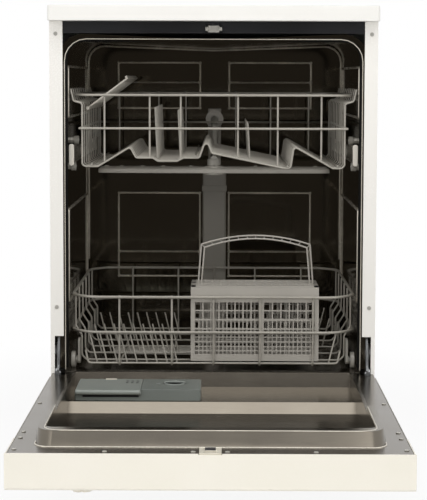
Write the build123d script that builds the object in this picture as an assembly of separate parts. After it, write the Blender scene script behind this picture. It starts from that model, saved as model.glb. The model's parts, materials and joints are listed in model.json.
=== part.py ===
from build123d import *
import os
from math import cos, radians, sin, tan

# Freestanding dishwasher, drawn with its door open and both racks pushed home.
# Millimetres. +Z is up, the front faces -Y, and the origin is on the floor under
# the middle of the whole object, open door included.
# Every y below is counted from the front plane of the cabinet; SHIFT_Y moves it.

# Overall sizes
CABINET_W = 597.0
WORKTOP_W = CABINET_W + 2.0
DOOR_W = CABINET_W + 1.0
HEIGHT = 850.0
REAR_REACH = 555.0
DOOR_REACH = 645.0
SHIFT_Y = (DOOR_REACH - REAR_REACH) / 2

# Cabinet shell
SHEET = 1.0
WORKTOP_T = 28.0
WORKTOP_OVERHANG = 28.0
WORKTOP_CORNER = 7.0
FLANGE_W = 24.0
LIP_DEPTH = 4.5
PANEL_BOTTOM = 14.0
REAR_FLANGE = 16.0
SCREW_Z = (299.0, 799.0)
FLANGE_SCREW_INSET = 11.5
SLOT_Z = (163.0, 245.0)
SLOT_W = 16.5
TAIL_ROOM = 68.0
BASE_TOP = 120.0
BASE_WALL = 3.0
PLINTH_TOP = 98.0
PLINTH_SETBACK = 42.0
FOOT_R = 17.0
FOOT_PAD = 9.0

# Tub
TUB_W = 544.0
TUB_WALL = 1.0
TUB_FRONT = 5.0
TUB_BACK = 526.0
TUB_TOP = 790.0
TUB_DIP = 10.0
TUB_CORNER = 35.0
TUB_FLANGE = 9.0
LEDGE_Z = 177.7
FLOOR_UNDER = 150.0
LEDGE_W = 24.0
FLOOR_FALL = 77.0
FLOOR_T = 2.0
GASKET_T = 5.5
GASKET_DEPTH = 12.0
EMBOSS_X = (31.0, 206.0)
EMBOSS_UPPER = (655.0, 710.0, 752.0)
EMBOSS_LOWER = (293.0, 346.0, 473.0)
EMBOSS_W = 6.0
EMBOSS_H = 1.6

# Hydraulics
ARM_Y = 262.0
SUMP_R = 92.0
SUMP_OFFSET = 34.0
HUB_R = 17.0
SUMP_DEPTH = 70.0
FILTER_R = 37.0
DUCT_W = 50.0
DUCT_D = 12.0
DUCT_TOP = 521.0
DOCK_Z = 632.0
DOCK_R = 15.0
FEED_Z = 559.0
FEED_R = 7.5
FEED_RIB_TOP = 578.2
FEED_RISE_Y = 487.0
UP_ARM_Z = 532.0

# Inlet stub
INLET_X = 190.0
INLET_Z = 78.0
INLET_R = 13.2

# Door, drawn open: its inner face looks up
FLANGE_Z = 177.0
DOOR_T = 54.5
DOOR_GAP = 3.0
PIVOT_Y = -DOOR_GAP
PIVOT_Z = FLANGE_Z
DOOR_TAIL = 62.0
PANEL_L = 109.0
PANEL_WALL = 2.5
LINER_T = 1.0
RING_H = 20.0
RING_HALF = 262.0
RING_W = 12.0
TRACK_HALF = 255.5
TRACK_END = 388.0
LANE_Z = 186.0
RING_END = 602.0
RING_SLOPE = 24.0
RING_CORNER = 26.0
BASIN_END = 555.0
BASIN_Z = 140.0
BASIN_STEP = (-186.0, -171.0)
STEP_Z = 158.0
PIN_R = 4.0
PIN_FIT = 0.05
ARM_X = 282.0
ARM_T = 4.0

# Control panel
GRIP_HALF = 85.0
GRIP_Y = (-606.0, -562.0)
GRIP_D = 22.0
BUTTON_X = (150.0, 190.0)
BUTTON_Y = -588.0
BUTTON_R = 7.0
KNOB_X = -190.0
KNOB_R = 19.0

# Dispenser
DISP_X = (-240.0, -20.0)
DISP_Y = (-165.0, -66.0)
DISP_TOP = 178.0
DISP_BOTTOM = 134.0
DISP_SPLIT = -124.0
LID_T = 3.0
CAP_R = 19.0
CAP_SPOT = (-67.0, -104.0)
LATCH_X = -182.0

# Wire racks
WIRE = 4.2
RIM_WIRE = 5.0
TINE = 3.6

UP_FRONT = 22.0
UP_PITCH = 44.0
UP_COUNT = 11
UP_RIM_Z = 688.0
UP_MID_Z = 627.0
LOW_FRONT = 14.0
LOW_REAR = 482.0
LOW_HALF = 262.0
LOW_RIM_Z = 316.0
LOW_MID_Z = 250.5
LOW_FLOOR_Z = 191.6
LOW_ROWS = (60.0, 136.0, 212.0, 288.0, 364.0, 440.0)

# Cup shelf
SHELF_W = 94.0
SHELF_Y = (74.0, 430.0)
SHELF_PIVOT = (-235.3, 663.0)
SHELF_PIVOT_R = 3.2
SHELF_TILT = 37.0

# Rails, rollers and wheels
RAIL_Z = 578.0
RAIL_H = 30.0
RAIL_D = 9.0
RAIL_OUT = 265.5
RAIL_SHEET = 1.5
RAIL_Y = (25.0, 495.0)
UP_WHEEL_Y = (250.0, 450.0)
UP_WHEEL_T = 6.4
ROLLER_R = 8.0
ROLLER_Y = (70.0, 132.0)
LOW_WHEEL_R = 15.0
LOW_WHEEL_T = 8.0
LOW_WHEEL_X = 257.0
LOW_WHEEL_Y = (56.0, 436.0)
RUN_GAP = 0.3
AXLE_R = 3.0
AXLE_FIT = 0.05

# Cutlery basket
BASKET_X = (-41.0, 196.0)
BASKET_Y = (22.0, 112.0)
BASKET_Z = (196.0, 334.0)
BASKET_WALL = 2.2
HANDLE_TOP = 428.0


def block(x0, x1, y0, y1, z0, z1):
    centre = Pos((x0 + x1) / 2, (y0 + y1) / 2, (z0 + z1) / 2)
    return centre * Box(abs(x1 - x0), abs(y1 - y0), abs(z1 - z0))


# Round sections: sides = 0 is a true circle; small or hidden ones are drawn with flats
def disc(radius, sides=0):
    return Circle(radius) if sides == 0 else RegularPolygon(radius, sides)


# The hole that a disc of the same radius turns freely in
def hole_disc(radius, sides=0):
    return Circle(radius) if sides == 0 else RegularPolygon(radius, sides, major_radius=False)


def rod(start, end, radius, sides=0, hole=False):
    line = Vector(*end) - Vector(*start)
    base = Plane(origin=start, z_dir=line)
    section = hole_disc(radius, sides) if hole else disc(radius, sides)
    return extrude(base * section, line.length)


def post(x, y, z0, z1, radius, sides=0, hole=False):
    return rod((x, y, z0), (x, y, z1), radius, sides, hole)


def mirrored(shape):
    return mirror(shape, about=Plane.YZ)


def both_sides(shape):
    return [shape, mirrored(shape)]


def wire(points, width, flat=(0, 0, 1), sides=6):
    # A mitred run of wire; one flat of its section looks along "flat" at the start
    path = Polyline(*points)
    tangent = Vector(*points[1]) - Vector(*points[0])
    side = Vector(*flat).cross(tangent)
    plane = Plane(origin=points[0], x_dir=side, z_dir=tangent)
    turn = 45 if sides == 4 else 0
    section = plane * RegularPolygon(width / 2, sides, major_radius=False, rotation=turn)
    return sweep(section, path, transition=Transition.RIGHT)


def save(name, *shapes):
    solids = []
    for shape in shapes:
        for item in shape if isinstance(shape, (list, tuple)) else [shape]:
            solids += item.solids()
    moved = [Pos(0, SHIFT_Y, 0) * solid for solid in solids]
    whole = moved[0] if len(moved) == 1 else Compound(moved)
    export_step(whole, f"parts/{name}.step")


# Worktop: a board with rounded front corners, softened edges and a dripping groove
def worktop():
    under = HEIGHT - WORKTOP_T
    board = block(-WORKTOP_W / 2, WORKTOP_W / 2, -WORKTOP_OVERHANG, REAR_REACH, under, HEIGHT)
    uprights = board.edges().filter_by(Axis.Z).sort_by(Axis.Y)[:2]
    board = fillet(uprights, WORKTOP_CORNER)
    board = chamfer(board.faces().sort_by(Axis.Z)[-1].edges(), 1.5)
    groove = block(-WORKTOP_W / 2 + 12, WORKTOP_W / 2 - 12, -14, -11, under, under + 2)
    return board - groove


# Side panel: outer sheet, front flange with its return lip and hinge slot, rear flange
def side_panel():
    x = CABINET_W / 2
    top = HEIGHT - WORKTOP_T
    back = REAR_REACH - 4.0
    outline = [
        (x - FLANGE_W, LIP_DEPTH),
        (x - FLANGE_W, 0),
        (x, 0),
        (x, back),
        (x - REAR_FLANGE, back),
        (x - REAR_FLANGE, back - SHEET),
        (x - SHEET, back - SHEET),
        (x - SHEET, SHEET),
        (x - FLANGE_W + SHEET, SHEET),
        (x - FLANGE_W + SHEET, LIP_DEPTH),
    ]
    face = make_face(Polyline(*outline, close=True))
    panel = extrude(Pos(0, 0, PANEL_BOTTOM) * face, top - PANEL_BOTTOM)
    slot_in = x - FLANGE_W - 1
    slot_out = x - FLANGE_W + SLOT_W
    panel -= block(slot_in, slot_out, -1, LIP_DEPTH + 1, SLOT_Z[0], SLOT_Z[1])
    for z in SCREW_Z:
        hole_x = x - FLANGE_SCREW_INSET
        panel -= rod((hole_x, -1, z), (hole_x, SHEET + 1, z), 2.2, 8, True)
    # Below the hinge the front edge steps back, so that the door's tail can swing in
    panel -= block(x - FLANGE_W - 1, x + 1, -1, TAIL_ROOM, PANEL_BOTTOM - 1, SLOT_Z[0])
    return panel


# Back sheet with pressed vertical ribs and a row of vent slots
def rear_panel():
    half = CABINET_W / 2 - 2
    y = REAR_REACH - 4.0
    panel = block(-half, half, y, y + SHEET, 128, HEIGHT - WORKTOP_T - 2)
    for x in (-180, -60, 60, 180):
        panel += block(x - 14, x + 14, y + SHEET, y + 4.0, 190, 760)
        panel -= block(x - 12, x + 12, y - 1, y + 3.0, 192, 758)
    for i in range(6):
        z = 140 + i * 7
        panel -= block(-130, 130, y - 1, y + 5, z, z + 3)
    return panel


# Moulded base tray that carries the pumps and catches a leak
def base_tray():
    half = CABINET_W / 2 - SHEET - 1.5
    front = 74.0
    back = REAR_REACH - 8.0
    tray = block(-half, half, front, back, 20, BASE_TOP)
    tray -= block(-half + BASE_WALL, half - BASE_WALL, front + BASE_WALL, back - BASE_WALL, 20 + BASE_WALL, BASE_TOP + 1)
    toe = block(-half + 4, half - 4, PLINTH_SETBACK + SHEET + RUN_GAP, front, 20, 26)
    tray += toe
    for x in (-150, 0, 150):
        tray += block(x - 2, x + 2, front + BASE_WALL, back - BASE_WALL, 22, 34)
    for x in (-half + 26, half - 26):
        for y in (front - 8, back - 26):
            tray += post(x, y, 20, 46, 11, 8)
            tray -= post(x, y, 19, 47, 5.3, 8, True)
    hole = rod((INLET_X, back - BASE_WALL - 1, INLET_Z), (INLET_X, back + 1, INLET_Z), INLET_R + RUN_GAP, 16, True)
    return tray - hole


def foot_spots():
    half = CABINET_W / 2 - SHEET - 1.5
    return [(x, y) for x in (-half + 26, half - 26) for y in (66.0, REAR_REACH - 34.0)]


# Levelling feet: round pad, hexagon collar and threaded stem
def feet():
    made = []
    for x, y in foot_spots():
        pad = Pos(x, y, 0) * extrude(disc(FOOT_R, 16), FOOT_PAD, taper=12)
        collar = post(x, y, FOOT_PAD, FOOT_PAD + 8, 8, 6)
        stem = post(x, y, FOOT_PAD + 8, 52, 5.0, 8)
        made.append(pad + collar + stem)
    return made


def plinth():
    half = CABINET_W / 2 - SHEET - 1.0
    y = PLINTH_SETBACK
    kick = block(-half, half, y, y + SHEET, PANEL_BOTTOM, PLINTH_TOP)
    kick += block(-half, half, y, y + 10, PLINTH_TOP - SHEET, PLINTH_TOP)
    kick += block(-half, half, y, y + 10, PANEL_BOTTOM, PANEL_BOTTOM + SHEET)
    side = block(half - SHEET, half, y, TAIL_ROOM - 1, PANEL_BOTTOM, PLINTH_TOP)
    return kick + side + mirrored(side)


# The tub's cross-section: straight sides, round shoulders and a ceiling that dips
def tub_outline(grow, foot):
    half = TUB_W / 2 + grow
    top = TUB_TOP + grow
    corner = TUB_CORNER + grow
    shoulder = half - corner
    left = Line((-half, foot), (-half, top - corner))
    left_arc = ThreePointArc(
        (-half, top - corner),
        (-half + corner * (1 - cos(radians(45))), top - corner * (1 - sin(radians(45)))),
        (-shoulder, top),
    )
    dip = Polyline((-shoulder, top), (0, top - TUB_DIP), (shoulder, top))
    right_arc = ThreePointArc(
        (shoulder, top),
        (half - corner * (1 - cos(radians(45))), top - corner * (1 - sin(radians(45)))),
        (half, top - corner),
    )
    right = Line((half, top - corner), (half, foot))
    base = Line((half, foot), (-half, foot))
    return make_face([left, left_arc, dip, right_arc, right, base])


def tub_slab(grow, foot, y0, y1):
    face = Plane(origin=(0, y1, 0), x_dir=(1, 0, 0), z_dir=(0, -1, 0)) * tub_outline(grow, foot)
    return extrude(face, y1 - y0)


# Stainless wrapper: sides and ceiling in one sheet, with a flange round the mouth
def tub_wrapper():
    foot = LEDGE_Z - 14
    shell = tub_slab(TUB_WALL, foot, TUB_FRONT, TUB_BACK)
    shell -= tub_slab(0, foot - 1, TUB_FRONT - 1, TUB_BACK + 1)
    flange = tub_slab(TUB_FLANGE, foot, TUB_FRONT, TUB_FRONT + 1.2)
    flange -= tub_slab(0, foot - 1, TUB_FRONT - 1, TUB_FRONT + 3)
    wrapper = shell + flange
    slot = block(TUB_W / 2 - 2, TUB_W / 2 + 12, TUB_FRONT - 1, TUB_FRONT + 2, foot - 1, SLOT_Z[1] - 60)
    return wrapper - slot - mirrored(slot)


def ridge(x0, x1, z0, z1):
    return block(x0, x1, TUB_BACK - EMBOSS_H, TUB_BACK + 0.2, z0, z1)


# Back wall with two pressed frames each side of the water duct
def tub_back_wall():
    wall = tub_slab(TUB_WALL, LEDGE_Z - 14, TUB_BACK, TUB_BACK + 1.2)
    near, far = EMBOSS_X
    for levels in (EMBOSS_UPPER, EMBOSS_LOWER):
        for z in levels:
            bar = ridge(near, far, z - EMBOSS_W / 2, z + EMBOSS_W / 2)
            wall += bar
            wall += mirrored(bar)
        for x in (near, far):
            post = ridge(x - EMBOSS_W / 2, x + EMBOSS_W / 2, levels[0], levels[-1])
            wall += post
            wall += mirrored(post)
    return wall


# Tub floor: flat wheel ledges at both sides and a funnel that falls to the sump
def tub_floor():
    half = TUB_W / 2
    inner = half - LEDGE_W
    y = ARM_Y + SUMP_OFFSET
    mouth = chamfer(Rectangle(2 * inner, TUB_BACK - TUB_FRONT - 34).vertices(), 34)
    funnel = extrude(mouth, LEDGE_Z - FLOOR_UNDER - 6, taper=FLOOR_FALL)
    middle = Pos(0, (TUB_FRONT + TUB_BACK) / 2 + 6, LEDGE_Z)
    sheet = block(-half, half, TUB_FRONT, TUB_BACK, LEDGE_Z - FLOOR_T, LEDGE_Z)
    sheet += Pos(0, 0, -FLOOR_T) * middle * Rot(180, 0, 0) * funnel
    sheet -= middle * Rot(180, 0, 0) * funnel
    sheet += post(0, y, FLOOR_UNDER, FLOOR_UNDER + 6, SUMP_R + 12, 20)
    return sheet - post(0, y, FLOOR_UNDER - 1, LEDGE_Z, SUMP_R, 20, True)


# Sump: a bowl under the floor with its rim under the funnel, and the arm's hub
def sump():
    y = ARM_Y + SUMP_OFFSET
    top = FLOOR_UNDER - 0.0
    rim = post(0, y, top - 4, top, SUMP_R + 12, 20)
    spot = Pos(0, y, top) * Rot(180, 0, 0)
    body = rim + spot * extrude(disc(SUMP_R - 8, 20), SUMP_DEPTH, taper=14)
    body -= spot * extrude(disc(SUMP_R - 11, 20), SUMP_DEPTH - 3, taper=14)
    body += post(0, ARM_Y, top - SUMP_DEPTH + 1, FLOOR_UNDER + 8, HUB_R, 16)
    body -= post(0, ARM_Y, FLOOR_UNDER - 20, FLOOR_UNDER + 9, 12, 12)
    body += rod((0, y + 60, top - 48), (0, y + 110, top - 48), 15, 12)
    return body - rod((0, y + 50, top - 48), (0, y + 111, top - 48), 12, 12)


# Fine filter: a round plate that covers the sump, with holes for the hub and cup
def filter_plate():
    y = ARM_Y + SUMP_OFFSET
    z = FLOOR_UNDER + 0.4
    plate = post(0, y, z, z + 2.2, SUMP_R - 0.4, 20)
    plate -= post(0, ARM_Y, z - 1, z + 4, HUB_R + RUN_GAP, 16, True)
    cup = filter_spot()
    plate -= post(cup[0], cup[1], z - 1, z + 4, FILTER_R + RUN_GAP, 20, True)
    for i in range(7):
        turn = radians(205 + i * 16)
        x = 0.72 * SUMP_R * cos(turn)
        slot = Pos(x, y + 0.72 * SUMP_R * sin(turn), z) * Rot(0, 0, 205 + i * 16) * Box(22, 4, 8)
        plate -= slot
    return plate


def filter_spot():
    return (22.0, ARM_Y + SUMP_OFFSET + 20.0)


# Coarse filter cup: slotted wall, open top with a bar handle; it locks by a turn
def coarse_filter():
    x, y = filter_spot()
    low = FLOOR_UNDER - 50
    high = FLOOR_UNDER + 12
    cup = post(x, y, low, high, FILTER_R, 20)
    cup -= post(x, y, low + 2.5, high + 1, FILTER_R - 2.5, 20)
    for i in range(4):
        cup -= Pos(x, y, FLOOR_UNDER - 22) * Rot(0, 0, i * 45 + 22) * Box(2 * FILTER_R + 4, 7, 38)
    grip = block(x - FILTER_R + 1, x + FILTER_R - 1, y - 3, y + 3, high - 8, high)
    return cup + grip


def blade_outline(half, width):
    end = [(half, width * 0.18), (half - 6, width * 0.32), (half - 20, width * 0.42), (half * 0.35, width / 2)]
    right = end[::-1] + [(x, -y) for x, y in end]
    left = [(-x, -y) for x, y in right]
    return make_face(Polyline(*right, *left, close=True))


# Spray arm: a blade with a narrower crown, blunt ends, a hub and jets on top
def spray_arm(length, width, z0, thickness, hub_r, jets, hub_bottom):
    half = length / 2
    blade = extrude(blade_outline(half, width), thickness)
    blade = chamfer(blade.faces().sort_by(Axis.Z)[-1].edges(), thickness * 0.4, thickness * 0.5)
    arm = Pos(0, ARM_Y, z0) * blade
    arm += post(0, ARM_Y, hub_bottom, z0 + thickness + 1.5, hub_r, 20)
    for share in jets:
        jet = Pos(share * half, ARM_Y, z0 + thickness - 1) * extrude(Rectangle(9, 5), 3.2, taper=20)
        arm += jet
    return arm


def lower_spray_arm():
    z0 = FLOOR_UNDER + 20
    arm = spray_arm(400, 44, z0, 10, 20, (-0.9, -0.72, -0.5, 0.3, 0.5, 0.72, 0.9), FLOOR_UNDER + 8.4)
    return arm - post(0, ARM_Y, FLOOR_UNDER + 8, FLOOR_UNDER + 20, 12, 12)


# Water duct up the back wall, and the round connector the upper rack docks into
def water_duct():
    half = DUCT_W / 2
    y = TUB_BACK - EMBOSS_H
    back = TUB_BACK - RUN_GAP
    lower = block(-half, half, y - DUCT_D, back, LEDGE_Z + 2, DUCT_TOP)
    lower = chamfer(lower.edges().filter_by(Axis.Z).sort_by(Axis.Y)[:2], 3)
    upper = block(-14, 14, y - DUCT_D, back, DUCT_TOP, DOCK_Z + 22)
    upper = chamfer(upper.edges().filter_by(Axis.Z).sort_by(Axis.Y)[:2], 3)
    band = block(-half - 1.5, half + 1.5, y - DUCT_D - 1.5, back, DUCT_TOP - 44, DUCT_TOP - 32)
    return lower + upper + band


def docking_connector():
    y = TUB_BACK - EMBOSS_H - DUCT_D
    ring = rod((0, y, DOCK_Z), (0, y - 10, DOCK_Z), DOCK_R, 20)
    ring += rod((0, y, DOCK_Z), (0, y - 3, DOCK_Z), DOCK_R + 4, 20)
    return ring - rod((0, y + 1, DOCK_Z), (0, y - 11, DOCK_Z), DOCK_R - 5, 20)


# Black beam between worktop and tub, with turned legs behind the side flanges
def front_frame():
    half = CABINET_W / 2 - FLANGE_W - 0.5
    low = TUB_TOP + TUB_FLANGE + 1.0
    high = HEIGHT - WORKTOP_T - 0.5
    beam = block(-half, half, 1.5, 40, low, high)
    return beam - block(-half - 1, half + 1, 3.0, 38.5, low + 1.5, high - 1.5)


# Rubber seal round the mouth of the tub, with a hollow bulb
def door_gasket():
    y0 = TUB_FRONT + 3.5
    y1 = y0 + GASKET_DEPTH
    foot = LEDGE_Z + 8
    seal = tub_slab(-0.2, foot, y0, y1) - tub_slab(-GASKET_T, foot - 1, y0 - 1, y1 + 1)
    return seal - (tub_slab(-1.7, foot - 1, y0 + 3, y1 - 3) - tub_slab(-GASKET_T + 1.5, foot - 2, y0 + 2, y1 - 2))


# Metal plate that the door's catch grips, with its two screws
def latch_striker():
    z0 = TUB_TOP + TUB_FLANGE + 3.0
    plate = block(-15, 15, -0.4, 1.2, z0, z0 + 12)
    plate = chamfer(plate.edges().filter_by(Axis.Y), 1.5)
    plate -= block(-5, 5, -1, 2, z0 + 3, z0 + 9)
    for x in (-10.5, 10.5):
        plate += rod((x, -0.4, z0 + 6), (x, -1.4, z0 + 6), 2.4, 8)
    return plate


def flange_screws():
    made = []
    for z in SCREW_Z:
        x = CABINET_W / 2 - FLANGE_SCREW_INSET
        head = rod((x, -0.05, z), (x, -1.25, z), 3.8, 10)
        head += rod((x, -0.05, z), (x, 10, z), 2.0, 6)
        made += both_sides(head)
    return made


# Pivot plates in the cabinet's front corners, each with the hinge pin
def hinge_brackets():
    outer = ARM_X + ARM_T + 0.5
    plate = block(outer, outer + 2.5, PIVOT_Y - 7, 60, PIVOT_Z - 9, PIVOT_Z + 9)
    plate += block(outer, outer + 2.5, 14, 60, PIVOT_Z - 12, PIVOT_Z + 50)
    plate = chamfer(plate.edges().filter_by(Axis.X).sort_by(Axis.Y)[:2], 4)
    plate += rod((outer, PIVOT_Y, PIVOT_Z), (ARM_X - 2.0, PIVOT_Y, PIVOT_Z), PIN_R)
    plate += block(outer, CABINET_W / 2 - SHEET - 0.1, 40, 60, PIVOT_Z + 47, PIVOT_Z + 50)
    return both_sides(plate)


# Curved hinge arms, fixed to the door, that rise through the slots
def hinge_arms():
    x = ARM_X
    y, z = PIVOT_Y, PIVOT_Z
    points = [(y - 11, z - 12), (y + 8, z - 12), (y + 11, z + 12), (y + 13, z + 40), (y + 20, z + 62)]
    points += [(y + 10, z + 66), (y + 3, z + 42), (y - 1, z + 14), (y - 11, z + 8)]
    face = make_face(Plane.YZ * Polyline(*points, close=True))
    arm = extrude(Pos(x, 0, 0) * face, ARM_T)
    arm += block(x, x + ARM_T, y - 150, y - 16, z - 24, z - LINER_T - RUN_GAP)
    arm += block(x, x + ARM_T, y - 16, y - 8, z - 24, z - 8)
    arm -= rod((x - 1, y, z), (x + ARM_T + 1, y, z), PIN_R + PIN_FIT)
    arm -= rod((x - 1, y + 14, z + 58), (x + ARM_T + 1, y + 14, z + 58), 2.4, 8)
    return both_sides(arm)


# Outer door sheet: a shallow pan that runs on below the hinge
def door_outer_panel():
    half = DOOR_W / 2
    under = FLANGE_Z - DOOR_T
    head = -DOOR_REACH + PANEL_L + 0.5
    pan = block(-half, half, head, DOOR_TAIL, under, under + 26)
    pan -= block(-half + SHEET, half - SHEET, head - 1, DOOR_TAIL - SHEET, under + SHEET, under + 27)
    cheek = block(half - SHEET, half, head, PIVOT_Y - 14, under + 26, FLANGE_Z - 4)
    pan -= block(-half - 1, half + 1, PIVOT_Y + 34, DOOR_TAIL + 1, under + 12, under + 27)
    return pan + cheek + mirrored(cheek)


def along_x(profile, half):
    # A prism across the door from a profile given as (y, z)
    face = make_face(Plane.YZ * Polyline(*profile, close=True))
    return Pos(-half, 0, 0) * extrude(face, 2 * half, dir=(1, 0, 0))


def rounded_head(shape, corner):
    # Rounds the two upright corners nearest the head of the door
    uprights = [e for e in shape.edges() if abs(e.tangent_at(0.5).X) < 0.01 and abs(e.tangent_at(0.5).Z) > 0.3]
    uprights.sort(key=lambda e: e.center().Y)
    return fillet(uprights[:2], corner)


# Inner door panel without its basin: a skirted plate with a raised ring
def liner_form(t):
    half = DOOR_W / 2 - 4.0
    head = -DOOR_REACH + 3.0
    tail = PIVOT_Y - 1.0
    body = block(-half + t, half - t, head + t, tail - t, FLANGE_Z - 16 - 2 * t, FLANGE_Z - t)
    top = FLANGE_Z + RING_H
    foot = FLANGE_Z - 6
    ring = [(-RING_END - 7 + t, foot), (-RING_END + RING_SLOPE + t, top - t)]
    ring += [(-24 - t, top - t), (-14 - t, foot)]
    body += rounded_head(along_x(ring, RING_HALF - t), RING_CORNER)
    # Wheel tracks: the ring steps in where the lower rack's wheels roll
    track = block(TRACK_HALF - t, half, -TRACK_END - t, 40, FLANGE_Z - t, top + 2)
    track += block(RING_HALF - RING_W - 4 - t, half, -TRACK_END - t, 40, LANE_Z - t, top + 2)
    return body - track - mirrored(track)


# The basin inside the ring: deep towards the head, with a step up to the dispenser's shelf
def basin(t):
    top = FLANGE_Z + RING_H + 1
    profile = [(-BASIN_END - t, top), (-BASIN_END + 10 - t, BASIN_Z - t), (BASIN_STEP[0] + t, BASIN_Z - t)]
    profile += [(BASIN_STEP[1] + t, STEP_Z - t), (-36 + t, STEP_Z - t), (-20 + t, top)]
    return rounded_head(along_x(profile, RING_HALF - RING_W + t), RING_CORNER - RING_W + t)


# Inner door panel: pressed sheet whose basin carries the dispenser
def door_liner():
    sheet = liner_form(0) - liner_form(LINER_T)
    lid = block(-DOOR_W, DOOR_W, -DOOR_REACH, 60, FLANGE_Z + RING_H - 0.02, FLANGE_Z + RING_H + 9)
    lane = block(RING_HALF - RING_W - 4, DOOR_W, -TRACK_END, 60, LANE_Z, FLANGE_Z + RING_H + 9)
    shell = basin(LINER_T) - lid - lane - mirrored(lane)
    sheet = sheet + shell - basin(0)
    x0, x1 = DISP_X
    y0, y1 = DISP_Y
    sheet -= block(x0 + 18, x1 - 6, y0 + 6, y1 - 6, STEP_Z - 4, STEP_Z + 3)
    sheet -= block(-DOOR_W, DOOR_W, PIVOT_Y - 1, 60, 100, 300)
    catch = block(-17, 17, -DOOR_REACH + 3, -DOOR_REACH + 3 + 44, FLANGE_Z - 40, FLANGE_Z + 1)
    arm_slot = block(ARM_X - 2.5, ARM_X + ARM_T + 4, PIVOT_Y - 15, 0, FLANGE_Z - 20, FLANGE_Z + 1)
    low_end = block(-DOOR_W, DOOR_W, -48, 60, LANE_Z - 3, FLANGE_Z + RING_H + 9)
    return sheet - catch - arm_slot - mirrored(arm_slot) - low_end


# Fascia at the head of the door: a moulded tray with a finger grip and button holes
def control_panel():
    half = DOOR_W / 2
    under = FLANGE_Z - DOOR_T
    y0 = -DOOR_REACH
    y1 = y0 + PANEL_L
    tray = block(-half, half, y0, y1, under, FLANGE_Z - 1.3)
    outer = tray.edges().filter_by(Axis.X).group_by(Axis.Z)[0].sort_by(Axis.Y)[0]
    tray = chamfer(outer, 3)
    w = PANEL_WALL
    tray -= block(-half + w, half - w, y0 + w, y1 + 1, under + w, FLANGE_Z)
    tray += block(-half, half, y0, y0 + w, FLANGE_Z - 1.3, FLANGE_Z + 0.4)
    grip = block(-GRIP_HALF - w, GRIP_HALF + w, GRIP_Y[0] - w, GRIP_Y[1] + w, under + 1, under + GRIP_D + w)
    hollow = Pos(0, (GRIP_Y[0] + GRIP_Y[1]) / 2, under - 0.5) * extrude(
        chamfer(Rectangle(2 * GRIP_HALF, GRIP_Y[1] - GRIP_Y[0]).vertices(), 8), GRIP_D, taper=8
    )
    tray = tray + grip - hollow
    for x in BUTTON_X:
        tray -= post(x, BUTTON_Y, under - 1, under + w + 1, BUTTON_R + RUN_GAP, 16, True)
    tray -= post(KNOB_X, BUTTON_Y, under - 1, under + w + 1, 4.0 + RUN_GAP, 12, True)
    return tray - block(-17.2, 17.2, y0 - 0, y0 + w, FLANGE_Z - 1.4, FLANGE_Z + 1)


def panel_button(x):
    under = FLANGE_Z - DOOR_T
    cap = post(x, BUTTON_Y, under - 2.6, under + PANEL_WALL + 3, BUTTON_R, 16)
    cap = chamfer(cap.faces().sort_by(Axis.Z)[0].edges(), 0.6)
    return cap + post(x, BUTTON_Y, under + PANEL_WALL + 0.3, under + PANEL_WALL + 2.3, BUTTON_R + 2, 12)


# Program knob: a fluted grip on a disc, with a pointer groove and its spindle
def program_knob():
    under = FLANGE_Z - DOOR_T
    low = under - 13
    spot = Pos(KNOB_X, BUTTON_Y, low)
    body = spot * extrude(disc(KNOB_R - 2, 24), 9, taper=-5)
    body += Pos(KNOB_X, BUTTON_Y, low + 9) * extrude(disc(KNOB_R, 24), 3.7)
    for i in range(6):
        body -= spot * Rot(0, 0, 60 * i + 30) * Pos(KNOB_R - 2, 0, 3) * Box(4, 6, 7)
    body -= block(KNOB_X - 0.8, KNOB_X + 0.8, BUTTON_Y - KNOB_R, BUTTON_Y - 4, low - 1, low + 0.8)
    return body + post(KNOB_X, BUTTON_Y, low + 12, under + PANEL_WALL + 12, 4.0, 10)


# Catch at the head of the door, with its mouth for the striker
def door_catch():
    y0 = -DOOR_REACH + 3.2
    body = block(-16.5, 16.5, y0, y0 + 42, FLANGE_Z - 26, FLANGE_Z + 0.8)
    body -= block(-9, 9, y0 + 6, y0 + 16, FLANGE_Z - 16, FLANGE_Z + 2)
    body -= block(-12, -7, y0 + 26, y0 + 34, FLANGE_Z - 6, FLANGE_Z + 2)
    body -= block(7, 12, y0 + 26, y0 + 34, FLANGE_Z - 6, FLANGE_Z + 2)
    return body


def door_screws():
    made = []
    side_x = DOOR_W / 2 - 11.5
    for y in (-280, -501, -542, -618):
        head = post(side_x, y, FLANGE_Z + 0.05, FLANGE_Z + 1.4, 3.6, 8)
        made += both_sides(head)
    for x in (25, 154):
        head = post(x, -DOOR_REACH + 13, FLANGE_Z + 0.05, FLANGE_Z + 1.4, 3.6, 8)
        made += both_sides(head)
    return made


# Dispenser: open detergent cup on one side, rinse-aid filler on the other
def dispenser_body():
    x0, x1 = DISP_X
    y0, y1 = DISP_Y
    lid_z = DISP_TOP - LID_T - RUN_GAP
    body = block(x0, x1, y0, y1, STEP_Z + 0.05, DISP_TOP)
    body = chamfer(body.edges().filter_by(Axis.Z), 3)
    body += block(x0 + 19, x1 - 7, y0 + 7, y1 - 7, DISP_BOTTOM, STEP_Z + 0.05)
    body -= block(x0 - 1, DISP_SPLIT, y0 - 1, y1 + 1, lid_z, DISP_TOP + 1)
    body -= block(x0 + 22, DISP_SPLIT - 30, y0 + 12, y1 - 16, DISP_BOTTOM + 6, lid_z + 1)
    body -= post(CAP_SPOT[0], CAP_SPOT[1], DISP_TOP - 6, DISP_TOP + 1, CAP_R + 1, 24, True)
    body -= post(CAP_SPOT[0], CAP_SPOT[1], DISP_TOP - 24, DISP_TOP, CAP_R - 5, 16, True)
    body -= block(-100, -92, -112, -108, DISP_TOP - 3, DISP_TOP + 1)
    latch_x = LATCH_X
    body -= block(latch_x - 10.4, latch_x + 10.4, y1 - 8.4, y1 + 1, lid_z - 4, lid_z + 1)
    return body


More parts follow.
